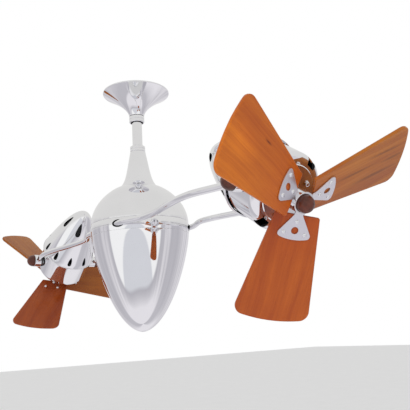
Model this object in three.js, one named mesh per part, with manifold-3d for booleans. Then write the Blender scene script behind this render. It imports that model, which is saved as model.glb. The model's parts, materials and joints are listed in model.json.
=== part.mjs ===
// Twin head ceiling fan: a fixed body hangs from the ceiling, and a carrier under it turns about
// the vertical axis with two long bent rods. Each end of the rods holds a bullet shaped fan head,
// which tilts between the rods and spins three wooden blades.
// Millimetres, +Z up. The origin is the middle of the ceiling face, and everything hangs below it.
import * as THREE from "three";
import { mergeVertices } from "three/addons/utils/BufferGeometryUtils.js";
import Module from "manifold-3d";

const wasm = await Module();
wasm.setup();

// ---------------------------------------------------------------- driving dimensions
const CLEARANCE = 0.3; // between pieces that seat on each other
const SHEET = 1.6; // wall of the spun metal covers

const CANOPY_RADIUS = 80.5;
const CANOPY_HEIGHT = 60;
const CANOPY_RIM = 2.5; // straight lip that meets the ceiling
const CANOPY_FLARE = 1.75; // power of the trumpet curve
const THROAT_RADIUS = 18.2; // lower end of the canopy, and its collar
const CANOPY_COLLAR_HEIGHT = 16;
const CANOPY_COLLAR_WALL = 3;

const PLATE_RADIUS = 58; // hanger bracket
const PLATE_THICKNESS = 3;
const PLATE_WIRE_HOLE = 7;
const PLATE_SCREW_HOLE = 2.75;
const PLATE_SCREW_AT = 45; // from the middle of the plate
const HANGER_STRAP = 18; // width of the two straps
const HANGER_STRAP_THICKNESS = 3;
const BALL_RADIUS = 18;
const BALL_DROP = 29; // ceiling to the middle of the ball
const BALL_SEAT_RADIUS = 15.5;
const BALL_SEAT_HEIGHT = 5;
const CROSS_PIN_RADIUS = 2.5;

const ROD_RADIUS = 12;
const ROD_WALL = 2.5;
const ROD_EXPOSED = 61; // between the two collars
const ROD_COLLAR_RADIUS = 18;
const ROD_COLLAR_HEIGHT = 14;
const ROD_GRIP = 28; // length of rod held in the coupler

const NECK_HEIGHT = 89;
const NECK_TAPER = 17; // how much the straight cone widens
const NECK_FLARE = 11.4; // how much the foot flares beyond the cone
const NECK_FLARE_POWER = 7;
const DOME_HEIGHT = 89;
const DOME_SWELL = 0.77; // power of the dome's curve
const BAND_RADIUS = 113.5;
const BAND_CROWN = 1.5; // how far the middle of the band stands out
const BAND_HEIGHT = 27;
const BAND_WALL = 10;
const BOWL_HEIGHT = 218;
const BOWL_FULLNESS = 1.3; // powers of the egg curve
const BOWL_ROUNDNESS = 0.533;

const SPINDLE_RADIUS = 10;
const COUPLER_WALL = 4;
const SHELF_RADIUS = 52; // plate on the spindle that carries the dome
const SHELF_THICKNESS = 3;
const SHELF_DROP = 6.5; // below the top of the dome
const RETAINER_HEIGHT = 6;
const BALL_TRACK_RADIUS = 16.5; // main bearing
const BEARING_BALL_RADIUS = 2.6;
const BEARING_RACE = 3.4;
const BEARING_HEIGHT = 12;
const BEARING_BALLS = 8;
const CAGE_HEIGHT = 2.4;
const HUB_WALL = 7; // carrier hub
const SPIDER_HALF_WIDTH = 15;
const SPIDER_HALF_HEIGHT = 9.5;
const SLIP_DRUM_HEIGHT = 34;
const SLIP_DRUM_WALL = 5;
const SLIP_RING_DEPTH = 1.5;
const SLIP_FLANGE = 2.5;
const SLIP_RINGS = 3;
const BRUSH_WIDTH = 14;
const BRUSH_DEPTH = 16;
const BRUSH_STRAP = 4;

const ARM_RADIUS = 6.35;
const ARM_BORE = 4.6;
const SLOT_INSET = 22.5;
const SLOT_Y = BAND_RADIUS - SLOT_INSET; // rods cross the band at this distance from the middle
const WAIST_X = 156; // where each pair of rods comes closest
const WAIST_Y = 70.6;
const FLARE_X = 368; // where each pair is widest
const FLARE_Y = 104;
const PIVOT_X = 481.5; // tilt axis of each head
const PIVOT_DROP = 9; // tilt axis below the middle of the band
const EYE_RADIUS = 17; // sleeve on each rod end
const EYE_LENGTH = 17.7;
const GROMMET_WALL = 1.6;
const WIRE_HOLE_RADIUS = 3;

const CAN_RADIUS = 70; // motor can of a head
const CAN_WALL = 2;
const CAN_FRONT = 34; // front face, ahead of the tilt axis
const CAN_BACK = 46; // open back, behind the tilt axis
const CAN_SHOULDER = 13; // depth of the rounded front edge
const CAN_SHOULDER_WIDTH = 14;
const CAN_VENTS = 6;
const CAN_VENT_WIDTH = 22;
const CAN_VENT_TURN = 30; // degrees, where the first vent lies
const COVER_SCREWS = 6;
const COVER_SCREW_CIRCLE = 40;
const COVER_SCREW_RADIUS = 4;
const COVER_SCREW_HEIGHT = 3;
const SHELL_RADIUS = 74; // bullet shell
const SHELL_RIM = 45; // rim, behind the tilt axis
const SHELL_LENGTH = 154;
const SHELL_POWER = 0.52; // power of the shell's curve
const TEAR_LONG = { count: 5, turn: 57.6, toRim: 95, length: 37, width: 14, facets: 4 };
const TEAR_SHORT = { count: 10, turn: 15.5, toRim: 6.5, length: 27, width: 10.5, facets: 4 };
const TRUNNION_RADIUS = 13;
const WASHER_RADIUS = 15.5;
const WASHER_THICKNESS = 4.2;
const STUD_RADIUS = 5;
const KNOB_RADIUS = 16;
const KNOB_SEAT = 3; // how far the knob's middle stands off its sleeve

const SHAFT_RADIUS = 5;
const BEARING_RADIUS = 11;
const BEARING_LENGTH = 7;
const ROTOR_RADIUS = 36;
const ROTOR_LENGTH = 28;
const ROTOR_MIDDLE = 6; // behind the tilt axis
const AIR_GAP = 1;
const STATOR_RADIUS = 62;
const WINDING_DEPTH = 9;
const END_PLATE_THICKNESS = 3;
const END_PLATE_HOLES = 6;
const END_PLATE_HOLE_RADIUS = 8;
const END_PLATE_HOLE_CIRCLE = 40;

const FAN_HUB_RADIUS = 19;
const FAN_HUB_FRONT = 76.5; // ahead of the tilt axis
const FAN_HUB_LENGTH = 27;
const FAN_HUB_NECK_RADIUS = 12;
const FAN_HUB_NECK = 6;
const FINIAL_RADIUS = 15;
const FINIAL_STAND_OFF = 2.5; // ball's middle ahead of the hub
const BLADES = 3;
const BLADE_PITCH = 21.7; // degrees
const BLADE_CONE = 3; // degrees that the blades lean forward
const BLADE_ROOT = 22; // nearest edge to the fan's axis
const BLADE_REACH = 202;
const BLADE_CROWN = 9; // bulge of the tip
const BLADE_ROOT_HALF = 38.2;
const BLADE_TIP_HALF = 67.7;
const BLADE_THICKNESS = 6;
const BLADE_CORNER = 16;
const BRACKET_THICKNESS = 2.5;
const BRACKET_PLANE = 71; // ahead of the tilt axis
const BRACKET_FROM = 14.5;
const BRACKET_REACH = 59;
const BRACKET_CROWN = 7;
const BRACKET_NECK_HALF = 7;
const BRACKET_HALF = 32;
const BRACKET_CORNER = 10;
const BRACKET_HOLE = 6;
const BRACKET_HOLE_AT = 48;
const SCREW_RADIUS = 2;
const SCREW_HEAD_RADIUS = 3.6;
const SCREW_HEAD_HEIGHT = 2.4;
const NUT_RADIUS = 4.4;
const NUT_HEIGHT = 7;
const INNER_SCREW_AT = 33;
const OUTER_SCREW_AT = 53;
const OUTER_SCREW_SIDE = 18;

const RIGHT_TILT = 33.9; // degrees that each fan points below level
const LEFT_TILT = 36.6;
const RIGHT_SPIN = 1.6; // degrees, where the first blade stands
const LEFT_SPIN = 90.3;

const BIG = 24; // sides of large, middling, small and tiny round pieces
const MIDDLE = 18;
const SMALL = 12;
const TINY = 6;

// ---------------------------------------------------------------- heights that follow
const canopyBottom = -CANOPY_HEIGHT;
const canopyCollarTop = canopyBottom - CLEARANCE;
const canopyCollarBottom = canopyCollarTop - CANOPY_COLLAR_HEIGHT;
const rodCollarTop = canopyCollarBottom - ROD_EXPOSED;
const rodCollarBottom = rodCollarTop - ROD_COLLAR_HEIGHT;
const neckTop = rodCollarBottom - CLEARANCE;
const neckBottom = neckTop - NECK_HEIGHT;
const domeTop = neckBottom - CLEARANCE;
const domeBottom = domeTop - DOME_HEIGHT;
const bandTop = domeBottom - CLEARANCE;
const bandMiddle = bandTop - BAND_HEIGHT / 2;
const bandBottom = bandTop - BAND_HEIGHT;
const bowlTop = bandBottom - CLEARANCE;
const neckFoot = THROAT_RADIUS + NECK_TAPER + NECK_FLARE;
const bandInner = BAND_RADIUS - BAND_WALL;
const rodBottom = neckTop - ROD_GRIP;
const pivotHeight = bandMiddle - PIVOT_DROP;

// sideways places along a tilt axis
const washerInner = CAN_RADIUS + 2 * CLEARANCE;
const eyeInner = washerInner + WASHER_THICKNESS + CLEARANCE;
const eyeOuter = eyeInner + EYE_LENGTH;
const ARM_END_Y = (eyeInner + eyeOuter) / 2;
const knobMiddle = eyeOuter + KNOB_SEAT;

// ---------------------------------------------------------------- materials
function finish(color, roughness, metalness) {
  return new THREE.MeshStandardMaterial({ color, roughness, metalness });
}
const chrome = finish(0xd4d6da, 0.08, 1);
const mahogany = finish(0xaa5c2c, 0.4, 0);
const darkWood = finish(0x4b2823, 0.35, 0);
const zincSteel = finish(0xa9adb2, 0.4, 1);
const castMetal = finish(0x8f9398, 0.5, 0.9);
const nylon = finish(0x141416, 0.6, 0);
const lamination = finish(0x5a5048, 0.6, 0.6);
const copper = finish(0xb87333, 0.35, 0.9);

// ---------------------------------------------------------------- shaping helpers
function solidOf(geometry) {
  const bare = geometry.clone();
  bare.deleteAttribute("normal");
  bare.deleteAttribute("uv");
  const merged = mergeVertices(bare, 1e-4);
  return new wasm.Manifold(
    new wasm.Mesh({
      numProp: 3,
      vertProperties: new Float32Array(merged.attributes.position.array),
      triVerts: new Uint32Array(merged.index.array),
    }),
  );
}

function geometryOf(solid) {
  const { vertProperties, triVerts } = solid.getMesh();
  const geometry = new THREE.BufferGeometry();
  geometry.setAttribute("position", new THREE.BufferAttribute(vertProperties, 3));
  geometry.setIndex(new THREE.BufferAttribute(triVerts, 1));
  geometry.computeVertexNormals();
  return geometry;
}

function cut(body, ...tools) {
  return geometryOf(tools.reduce((left, tool) => left.subtract(solidOf(tool)), solidOf(body)));
}

function join(first, ...others) {
  return geometryOf(others.reduce((whole, piece) => whole.add(solidOf(piece)), solidOf(first)));
}

function common(first, second) {
  return geometryOf(solidOf(first).intersect(solidOf(second)));
}

// A solid turned about Z from a closed outline of [radius, height] points.
function turned(outline, sides = BIG) {
  const points = outline.map(([radius, height]) => new THREE.Vector2(radius, height));
  if (THREE.ShapeUtils.area(points) < 0) points.reverse();
  const onAxis = outline.some(([radius]) => radius === 0);
  if (onAxis) {
    while (points[0].x !== 0 || points[points.length - 1].x !== 0) points.push(points.shift());
  } else {
    points.push(points[0].clone());
  }
  return new THREE.LatheGeometry(points, sides).rotateX(Math.PI / 2);
}

function ring(inner, outer, from, to, sides = BIG) {
  return turned([[inner, from], [outer, from], [outer, to], [inner, to]], sides);
}

function rod(radius, from, to, sides = SMALL) {
  return turned([[0, from], [radius, from], [radius, to], [0, to]], sides);
}

function box(x, y, z) {
  return new THREE.BoxGeometry(x, y, z);
}

// The same outline moved inwards by a wall, seen from its outer side.
function insideOf(outline, wall) {
  return outline.map(([radius, height], index) => {
    const before = outline[Math.max(index - 1, 0)];
    const after = outline[Math.min(index + 1, outline.length - 1)];
    const along = new THREE.Vector2(after[0] - before[0], after[1] - before[1]).normalize();
    if (radius === 0) return [0, height - Math.sign(height - after[1]) * wall];
    return [radius + along.y * wall, height - along.x * wall];
  });
}

// A spun cover: the outer outline runs downwards, and the wall is inside it.
function cover(outline, wall, sides = BIG) {
  return turned([...outline, ...insideOf(outline, wall).reverse()], sides);
}

function curve(steps, at) {
  return Array.from({ length: steps + 1 }, (_, index) => at(index / steps));
}

// An outline of [x, y, corner] points, each corner rounded off by its own length.
function roundedShape(corners, pieces) {
  const shape = new THREE.Shape();
  corners.forEach(([x, y, corner], index) => {
    const here = new THREE.Vector2(x, y);
    const [before, after] = [-1, 1].map((step) => {
      const [nx, ny] = corners[(index + step + corners.length) % corners.length];
      const toward = new THREE.Vector2(nx - x, ny - y);
      return here.clone().add(toward.setLength(Math.min(corner, toward.length() * 0.45)));
    });
    const bend = new THREE.QuadraticBezierCurve(before, here, after);
    bend.getPoints(pieces).forEach((point, place) => {
      if (index === 0 && place === 0) shape.moveTo(point.x, point.y);
      else shape.lineTo(point.x, point.y);
    });
  });
  shape.closePath();
  return shape;
}

function circle(x, y, radius, sides) {
  const points = curve(sides, (share) => {
    const angle = Math.PI / 2 + share * 2 * Math.PI;
    return new THREE.Vector2(x + radius * Math.cos(angle), y + radius * Math.sin(angle));
  });
  return new THREE.Path(points.slice(0, sides));
}

function slab(shape, thickness) {
  const options = { depth: thickness, bevelEnabled: false };
  return new THREE.ExtrudeGeometry(shape, options).translate(0, 0, -thickness / 2);
}

// Copies of one cutter round the Z axis.
function around(count, make) {
  return Array.from({ length: count }, (_, index) => make().rotateZ((index * 2 * Math.PI) / count));
}

function radians(degrees) {
  return THREE.MathUtils.degToRad(degrees);
}

function smooth(share) {
  return THREE.MathUtils.smoothstep(share, 0, 1);
}

const fan = new THREE.Group();
function place(group, name, geometry, material) {
  const mesh = new THREE.Mesh(geometry, material);
  mesh.name = name;
  group.add(mesh);
  return mesh;
}

// ---------------------------------------------------------------- what hangs from the ceiling
function canopyOutline() {
  const flare = curve(5, (share) => [
    THROAT_RADIUS + (CANOPY_RADIUS - THROAT_RADIUS) * (1 - share) ** CANOPY_FLARE,
    -CANOPY_RIM - share * (CANOPY_HEIGHT - CANOPY_RIM),
  ]);
  return [[CANOPY_RADIUS, 0], ...flare];
}

function hangerBracket() {
  const seatBottom = -BALL_DROP - Math.sqrt(BALL_RADIUS ** 2 - BALL_SEAT_RADIUS ** 2);
  const seatOuter = BALL_RADIUS + 2 * CLEARANCE + HANGER_STRAP_THICKNESS;
  const plate = rod(PLATE_RADIUS, -PLATE_THICKNESS, 0, BIG);
  const wireHole = rod(PLATE_WIRE_HOLE, -2 * PLATE_THICKNESS, PLATE_THICKNESS, 8);
  wireHole.translate(0, PLATE_RADIUS / 2, 0);
  const screwHoles = [-1, 1].map((side) =>
    rod(PLATE_SCREW_HOLE, -2 * PLATE_THICKNESS, PLATE_THICKNESS, 8)
      .translate(side * PLATE_SCREW_AT, 0, 0),
  );
  const seat = ring(
    BALL_SEAT_RADIUS,
    seatOuter,
    seatBottom - BALL_SEAT_HEIGHT,
    seatBottom + BALL_SEAT_HEIGHT,
    MIDDLE,
  );
  const strapHeight = -seatBottom + BALL_SEAT_HEIGHT - PLATE_THICKNESS / 2;
  const straps = [-1, 1].map((side) =>
    box(HANGER_STRAP_THICKNESS, HANGER_STRAP, strapHeight).translate(
      side * (seatOuter - HANGER_STRAP_THICKNESS / 2),
      0,
      -PLATE_THICKNESS / 2 - strapHeight / 2,
    ),
  );
  const ball = new THREE.SphereGeometry(BALL_RADIUS + CLEARANCE, SMALL, SMALL / 2);
  ball.rotateX(Math.PI / 2).translate(0, 0, -BALL_DROP);
  return cut(join(plate, seat, ...straps), ball, wireHole, ...screwHoles);
}

function crossPin(radius) {
  const length = 2 * (BALL_RADIUS - CLEARANCE);
  return new THREE.CylinderGeometry(radius, radius, length, TINY);
}

function hangerBall() {
  const ball = new THREE.SphereGeometry(BALL_RADIUS, SMALL, SMALL / 2).rotateX(Math.PI / 2);
  const bore = rod(ROD_RADIUS + CLEARANCE, -BALL_RADIUS, BALL_RADIUS);
  return join(cut(ball, bore), crossPin(CROSS_PIN_RADIUS)).translate(0, 0, -BALL_DROP);
}

function downrod() {
  const top = -BALL_DROP + BALL_RADIUS;
  const tube = ring(ROD_RADIUS - ROD_WALL, ROD_RADIUS, rodBottom, top, SMALL);
  return cut(tube, crossPin(CROSS_PIN_RADIUS + CLEARANCE).translate(0, 0, -BALL_DROP));
}

function canopyCollar() {
  const inner = THROAT_RADIUS - CANOPY_COLLAR_WALL;
  const sleeve = ring(inner, THROAT_RADIUS, canopyCollarBottom, canopyCollarTop, MIDDLE);
  const screwLength = THROAT_RADIUS - ROD_RADIUS;
  const screw = new THREE.CylinderGeometry(SCREW_RADIUS, SCREW_RADIUS, screwLength, TINY);
  const screwY = ROD_RADIUS + CLEARANCE + screwLength / 2;
  return join(sleeve, screw.translate(0, screwY, (canopyCollarTop + canopyCollarBottom) / 2));
}

function neckOutline() {
  const cone = curve(5, (share) => [
    THROAT_RADIUS + NECK_TAPER * share + NECK_FLARE * share ** NECK_FLARE_POWER,
    neckTop - share * NECK_HEIGHT,
  ]);
  return [[ROD_RADIUS + 2 * CLEARANCE, neckTop], ...cone];
}

function domeOutline() {
  return curve(5, (share) => [
    neckFoot + (BAND_RADIUS - neckFoot) * (1 - (1 - share) ** 2) ** DOME_SWELL,
    domeTop - share * DOME_HEIGHT,
  ]);
}

function spindle() {
  const gripRadius = ROD_RADIUS + CLEARANCE + COUPLER_WALL;
  const gripTop = neckTop - SHEET - CLEARANCE;
  const gripBottom = rodBottom - CLEARANCE;
  const shelfTop = domeTop - SHELF_DROP;
  const bearingBottom = bandMiddle - BEARING_HEIGHT / 2;
  const retainerTop = bearingBottom - CLEARANCE;
  const retainerRadius = BALL_TRACK_RADIUS - BEARING_BALL_RADIUS - CLEARANCE;
  return turned(
    [
      [ROD_RADIUS + CLEARANCE, gripTop],
      [ROD_RADIUS + CLEARANCE, gripBottom],
      [0, gripBottom],
      [0, retainerTop - RETAINER_HEIGHT],
      [retainerRadius, retainerTop - RETAINER_HEIGHT],
      [retainerRadius, retainerTop],
      [SPINDLE_RADIUS, retainerTop],
      [SPINDLE_RADIUS, shelfTop - SHELF_THICKNESS],
      [SHELF_RADIUS, shelfTop - SHELF_THICKNESS],
      [SHELF_RADIUS, shelfTop],
      [gripRadius, shelfTop],
      [gripRadius, gripTop],
    ],
    SMALL,
  );
}

const hubTop = bandMiddle + BEARING_HEIGHT / 2 + CLEARANCE;
const drumBottom = hubTop + CLEARANCE;
const drumTop = drumBottom + SLIP_DRUM_HEIGHT;
const drumInner = SPINDLE_RADIUS + 4 * CLEARANCE;
const drumOuter = drumInner + SLIP_DRUM_WALL;
const bearingOuter = BALL_TRACK_RADIUS + BEARING_BALL_RADIUS + CLEARANCE + BEARING_RACE;

function brushBlock() {
  const blockInner = drumOuter + CLEARANCE;
  const strapTop = drumTop + CLEARANCE + BRUSH_STRAP;
  const height = strapTop - bandMiddle - SPIDER_HALF_HEIGHT - SLIP_RING_DEPTH;
  const block = box(BRUSH_DEPTH, BRUSH_WIDTH, height);
  const strapLength = blockInner + BRUSH_DEPTH;
  const strap = box(strapLength, BRUSH_WIDTH, BRUSH_STRAP);
  return cut(
    join(
      block.translate(blockInner + BRUSH_DEPTH / 2, 0, strapTop - height / 2),
      strap.translate(strapLength / 2, 0, strapTop - BRUSH_STRAP / 2),
    ),
    rod(SPINDLE_RADIUS + CLEARANCE, drumBottom, strapTop + BRUSH_STRAP, MIDDLE),
  );
}

const fixedBody = new THREE.Group();
fan.add(fixedBody);
place(fixedBody, "hanger_bracket", hangerBracket(), zincSteel);
place(fixedBody, "hanger_ball", hangerBall(), castMetal);
place(fixedBody, "downrod", downrod(), chrome);
place(fixedBody, "canopy", cover(canopyOutline(), SHEET), chrome);
place(fixedBody, "canopy_collar", canopyCollar(), chrome);
place(
  fixedBody,
  "rod_collar",
  ring(ROD_RADIUS + CLEARANCE, ROD_COLLAR_RADIUS, rodCollarBottom, rodCollarTop, MIDDLE),
  chrome,
);
place(fixedBody, "neck_cover", cover(neckOutline(), SHEET, MIDDLE), chrome);
place(fixedBody, "dome", cover(domeOutline(), SHEET), chrome);
place(fixedBody, "spindle", spindle(), zincSteel);
place(fixedBody, "brush_block", brushBlock(), nylon);

// ---------------------------------------------------------------- the turning carrier
function race(inner, outer) {
  const half = BEARING_HEIGHT / 2;
  return ring(inner, outer, bandMiddle - half, bandMiddle + half, MIDDLE);
}

function bearingCage() {
  const half = BEARING_BALL_RADIUS / 2;
  const band = ring(
    BALL_TRACK_RADIUS - half,
    BALL_TRACK_RADIUS + half,
    -CAGE_HEIGHT / 2,
    CAGE_HEIGHT / 2,
    SMALL,
  );
  const balls = around(BEARING_BALLS, () =>
    new THREE.SphereGeometry(BEARING_BALL_RADIUS, 6, 4).translate(BALL_TRACK_RADIUS, 0, 0),
  );
  return join(band, ...balls).translate(0, 0, bandMiddle);
}

function slotTool(radius) {
  const reach = 2 * BAND_RADIUS;
  return [-1, 1].map((side) =>
    new THREE.CylinderGeometry(radius, radius, reach, 12)
      .rotateZ(Math.PI / 2)
      .translate(0, side * SLOT_Y, bandMiddle),
  );
}

const grommetOuter = ARM_RADIUS + CLEARANCE + GROMMET_WALL;
const slotOuterX = Math.sqrt((BAND_RADIUS + BAND_CROWN) ** 2 - (SLOT_Y - grommetOuter) ** 2);
const slotInnerX = Math.sqrt(bandInner ** 2 - SLOT_Y ** 2);

function carrierHub() {
  const core = rod(bearingOuter + HUB_WALL, bandMiddle - SPIDER_HALF_HEIGHT, hubTop, MIDDLE);
  const reach = bandInner - CLEARANCE;
  const beams = [0, Math.PI / 2].map((turn) =>
    common(
      box(2 * reach, 2 * SPIDER_HALF_WIDTH, 2 * SPIDER_HALF_HEIGHT)
        .rotateZ(turn)
        .translate(0, 0, bandMiddle),
      rod(reach, bandMiddle - SPIDER_HALF_HEIGHT, bandMiddle + SPIDER_HALF_HEIGHT, BIG),
    ),
  );
  const bore = rod(bearingOuter + CLEARANCE, bandBottom - BAND_HEIGHT, bandTop + BAND_HEIGHT, MIDDLE);
  return cut(join(core, ...beams), bore, ...slotTool(ARM_RADIUS + CLEARANCE));
}

function bandHalf(side) {
  const edge = bandMiddle + (side * BAND_HEIGHT) / 2;
  const split = bandMiddle + (side * CLEARANCE) / 2;
  const ringHalf = turned([
    [bandInner, edge],
    [BAND_RADIUS, edge],
    [BAND_RADIUS + BAND_CROWN, (edge + split) / 2],
    [BAND_RADIUS + BAND_CROWN, split],
    [bandInner, split],
  ]);
  return cut(ringHalf, ...slotTool(grommetOuter + CLEARANCE));
}

function bowlOutline() {
  return curve(7, (share) => {
    const depth = 1 - (1 - share) ** 1.6;
    return [
      share === 1 ? 0 : BAND_RADIUS * (1 - depth ** BOWL_FULLNESS) ** BOWL_ROUNDNESS,
      bowlTop - depth * BOWL_HEIGHT,
    ];
  });
}

function slipRingDrum() {
  const flangeTop = drumBottom + SLIP_FLANGE;
  const pitch = (drumTop - flangeTop) / (2 * SLIP_RINGS + 1);
  const steps = curve(2 * SLIP_RINGS + 1, (share) => share).slice(1);
  const outer = steps.flatMap((_, index) => {
    const radius = drumOuter - (index % 2 ? 0 : SLIP_RING_DEPTH);
    const from = flangeTop + index * pitch;
    return [[radius, from], [radius, from + pitch]];
  });
  return turned(
    [
      [drumInner, drumBottom],
      [bearingOuter - CLEARANCE, drumBottom],
      [bearingOuter - CLEARANCE, flangeTop],
      ...outer,
      [drumInner, drumTop],
    ],
    SMALL,
  );
}

// Height and side of a rod at a distance along X.
function armPlace(x) {
  const out = Math.abs(x);
  const toWaist = smooth((out - slotOuterX) / (WAIST_X - slotOuterX));
  const toFlare = smooth((out - WAIST_X) / (FLARE_X - WAIST_X));
  const toEnd = smooth((out - FLARE_X) / (PIVOT_X - FLARE_X));
  const y =
    SLOT_Y +
    (WAIST_Y - SLOT_Y) * toWaist +
    (FLARE_Y - WAIST_Y) * toFlare +
    (ARM_END_Y - FLARE_Y) * toEnd;
  const sink = smooth((out - slotOuterX) / (PIVOT_X - slotOuterX));
  return [y, bandMiddle - PIVOT_DROP * sink];
}

// A rod is drawn in short lengths where it bends and in one length where it is straight.
const bendStops = [0];
for (const [end, steps] of [[slotOuterX, 1], [WAIST_X, 4], [FLARE_X, 5], [PIVOT_X, 4]]) {
  const start = bendStops[bendStops.length - 1];
  bendStops.push(...curve(steps, (share) => start + (end - start) * share).slice(1));
}
const armStops = [...bendStops.slice(1).reverse().map((x) => -x), ...bendStops];

class RodLine extends THREE.Curve {
  constructor(side) {
    super();
    this.side = side;
  }
  getUtoTmapping(share) {
    return share;
  }
  getPoint(share, target = new THREE.Vector3()) {
    const along = share * (armStops.length - 1);
    const index = Math.min(Math.floor(along), armStops.length - 2);
    const x = THREE.MathUtils.lerp(armStops[index], armStops[index + 1], along - index);
    const [y, z] = armPlace(x);
    return target.set(x, this.side * y, z);
  }
}

// Where the sleeves, washers and knobs stand along a tilt axis.
function alongTilt(geometry, end, side) {
  return geometry.rotateX((-side * Math.PI) / 2).translate(end * PIVOT_X, 0, pivotHeight);
}

function armRod(side) {
  const bore = new THREE.Shape(circle(0, 0, ARM_RADIUS, 10).getPoints());
  bore.holes.push(circle(0, 0, ARM_BORE, 5));
  const line = new RodLine(side);
  const steps = armStops.length - 1;
  const tube = new THREE.ExtrudeGeometry(bore, { steps, extrudePath: line, bevelEnabled: false });
  const eyes = [-1, 1].map((end) => alongTilt(rod(EYE_RADIUS, eyeInner, eyeOuter), end, side));
  const studHoles = [-1, 1].map((end) =>
    alongTilt(rod(STUD_RADIUS + CLEARANCE, CAN_RADIUS, eyeOuter + CAN_WALL, 12), end, side),
  );
  const wireHole = new THREE.CylinderGeometry(WIRE_HOLE_RADIUS, WIRE_HOLE_RADIUS, ARM_RADIUS, TINY);
  wireHole.translate(
    (SPIDER_HALF_WIDTH + slotInnerX) / 2,
    side * (SLOT_Y - ARM_RADIUS / 2 - WIRE_HOLE_RADIUS / 2),
    bandMiddle,
  );
  return cut(join(tube, ...eyes), ...studHoles, wireHole);
}

function grommet(end, side) {
  const sleeve = ring(ARM_RADIUS + CLEARANCE, grommetOuter, 0, slotOuterX + GROMMET_WALL, SMALL);
  const wall = ring(bandInner, BAND_RADIUS + CLEARANCE, -BAND_HEIGHT, BAND_HEIGHT);
  sleeve.rotateY((end * Math.PI) / 2).translate(0, side * SLOT_Y, 0);
  return common(sleeve, wall).translate(0, 0, bandMiddle);
}

const carrier = new THREE.Group();
fan.add(carrier);
place(
  fixedBody,
  "bearing_inner_ring",
  race(SPINDLE_RADIUS + CLEARANCE, BALL_TRACK_RADIUS - BEARING_BALL_RADIUS - CLEARANCE),
  zincSteel,
);
place(carrier, "bearing_cage", bearingCage(), zincSteel);
place(
  carrier,
  "bearing_outer_ring",
  race(BALL_TRACK_RADIUS + BEARING_BALL_RADIUS + CLEARANCE, bearingOuter),
  zincSteel,
);
place(carrier, "carrier_hub", carrierHub(), castMetal);
place(carrier, "band_upper", bandHalf(1), chrome);
place(carrier, "band_lower", bandHalf(-1), chrome);
place(carrier, "bowl", cover(bowlOutline(), SHEET), chrome);
place(carrier, "slip_ring_drum", slipRingDrum(), copper);
for (const [sideName, side] of [["front", -1], ["rear", 1]]) {
  place(carrier, `arm_${sideName}`, armRod(side), chrome);
  for (const [endName, end] of [["right", 1], ["left", -1]]) {
    place(carrier, `grommet_${endName}_${sideName}`, grommet(end, side), nylon);
  }
}

// ---------------------------------------------------------------- a fan head
// In a head's own frame Z is the fan's axis, pointing forwards out of the blades, and Y is the tilt
// axis. The origin is where they cross.
function shellRadiusAt(z) {
  const apex = -SHELL_RIM - SHELL_LENGTH;
  return SHELL_RADIUS * ((z - apex) / SHELL_LENGTH) ** SHELL_POWER;
}

function teardrop({ length, width, facets }) {
  const tail = length - width / 2;
  const round = curve(facets, (share) => {
    const angle = Math.PI * share;
    return new THREE.Vector2(Math.cos(angle) * (width / 2), Math.sin(angle) * (width / 2));
  });
  return new THREE.Shape([new THREE.Vector2(0, -tail), ...round]);
}

// A vent cutter: a teardrop on a radial prism, with its point towards the tip of the shell.
function tearCutter(kind) {
  const z = -SHELL_RIM - kind.toRim - kind.width / 2;
  const options = { depth: SHELL_RADIUS, bevelEnabled: false };
  const prism = new THREE.ExtrudeGeometry(teardrop(kind), options);
  prism.rotateX(Math.PI / 2).rotateZ(Math.PI / 2).translate(SHEET * 2, 0, z);
  return prism.rotateZ(radians(kind.turn));
}

function headShell() {
  const outline = curve(6, (share) => {
    const z = -SHELL_RIM - SHELL_LENGTH * share ** 1.5;
    return [share === 1 ? 0 : shellRadiusAt(z), z];
  }).reverse();
  const bullet = turned([...outline, ...insideOf(outline, -SHEET).reverse()], MIDDLE);
  const long = around(TEAR_LONG.count, () => tearCutter(TEAR_LONG));
  const short = around(TEAR_SHORT.count, () => tearCutter(TEAR_SHORT));
  return cut(bullet, ...long, ...short);
}

function motorCan() {
  const shoulder = curve(2, (share) => {
    const angle = (share * Math.PI) / 2;
    return [
      CAN_RADIUS - CAN_SHOULDER_WIDTH * (1 - Math.cos(angle)),
      CAN_FRONT - CAN_SHOULDER * (1 - Math.sin(angle)),
    ];
  });
  const outline = [[BEARING_RADIUS + CLEARANCE, CAN_FRONT], ...shoulder.reverse(), [CAN_RADIUS, -CAN_BACK]];
  const bossRadius = BEARING_RADIUS + CLEARANCE + CAN_WALL;
  const wall = insideOf(outline, CAN_WALL).reverse();
  wall[wall.length - 1][0] = bossRadius;
  const can = turned(
    [
      ...outline,
      ...wall,
      [bossRadius, CAN_FRONT - BEARING_LENGTH],
      [BEARING_RADIUS + CLEARANCE, CAN_FRONT - BEARING_LENGTH],
    ],
    MIDDLE,
  );
  const screws = around(COVER_SCREWS, () =>
    rod(COVER_SCREW_RADIUS, CAN_FRONT - CAN_WALL / 2, CAN_FRONT + COVER_SCREW_HEIGHT, TINY)
      .translate(COVER_SCREW_CIRCLE, 0, 0),
  );
  const trunnions = [-1, 1].map((side) =>
    rod(TRUNNION_RADIUS, CAN_RADIUS - 2 * CAN_WALL, CAN_RADIUS + CLEARANCE)
      .rotateX((-side * Math.PI) / 2),
  );
  const vents = around(CAN_VENTS, () =>
    box(2 * CAN_SHOULDER_WIDTH, CAN_VENT_WIDTH, CAN_SHOULDER)
      .translate(CAN_RADIUS, 0, CAN_FRONT - CAN_SHOULDER / 2)
      .rotateZ(radians(CAN_VENT_TURN)),
  );
  const studHole = new THREE.CylinderGeometry(
    STUD_RADIUS + CLEARANCE,
    STUD_RADIUS + CLEARANCE,
    4 * CAN_RADIUS,
    12,
  );
  return cut(join(can, ...screws, ...trunnions), ...vents, studHole);
}

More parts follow.
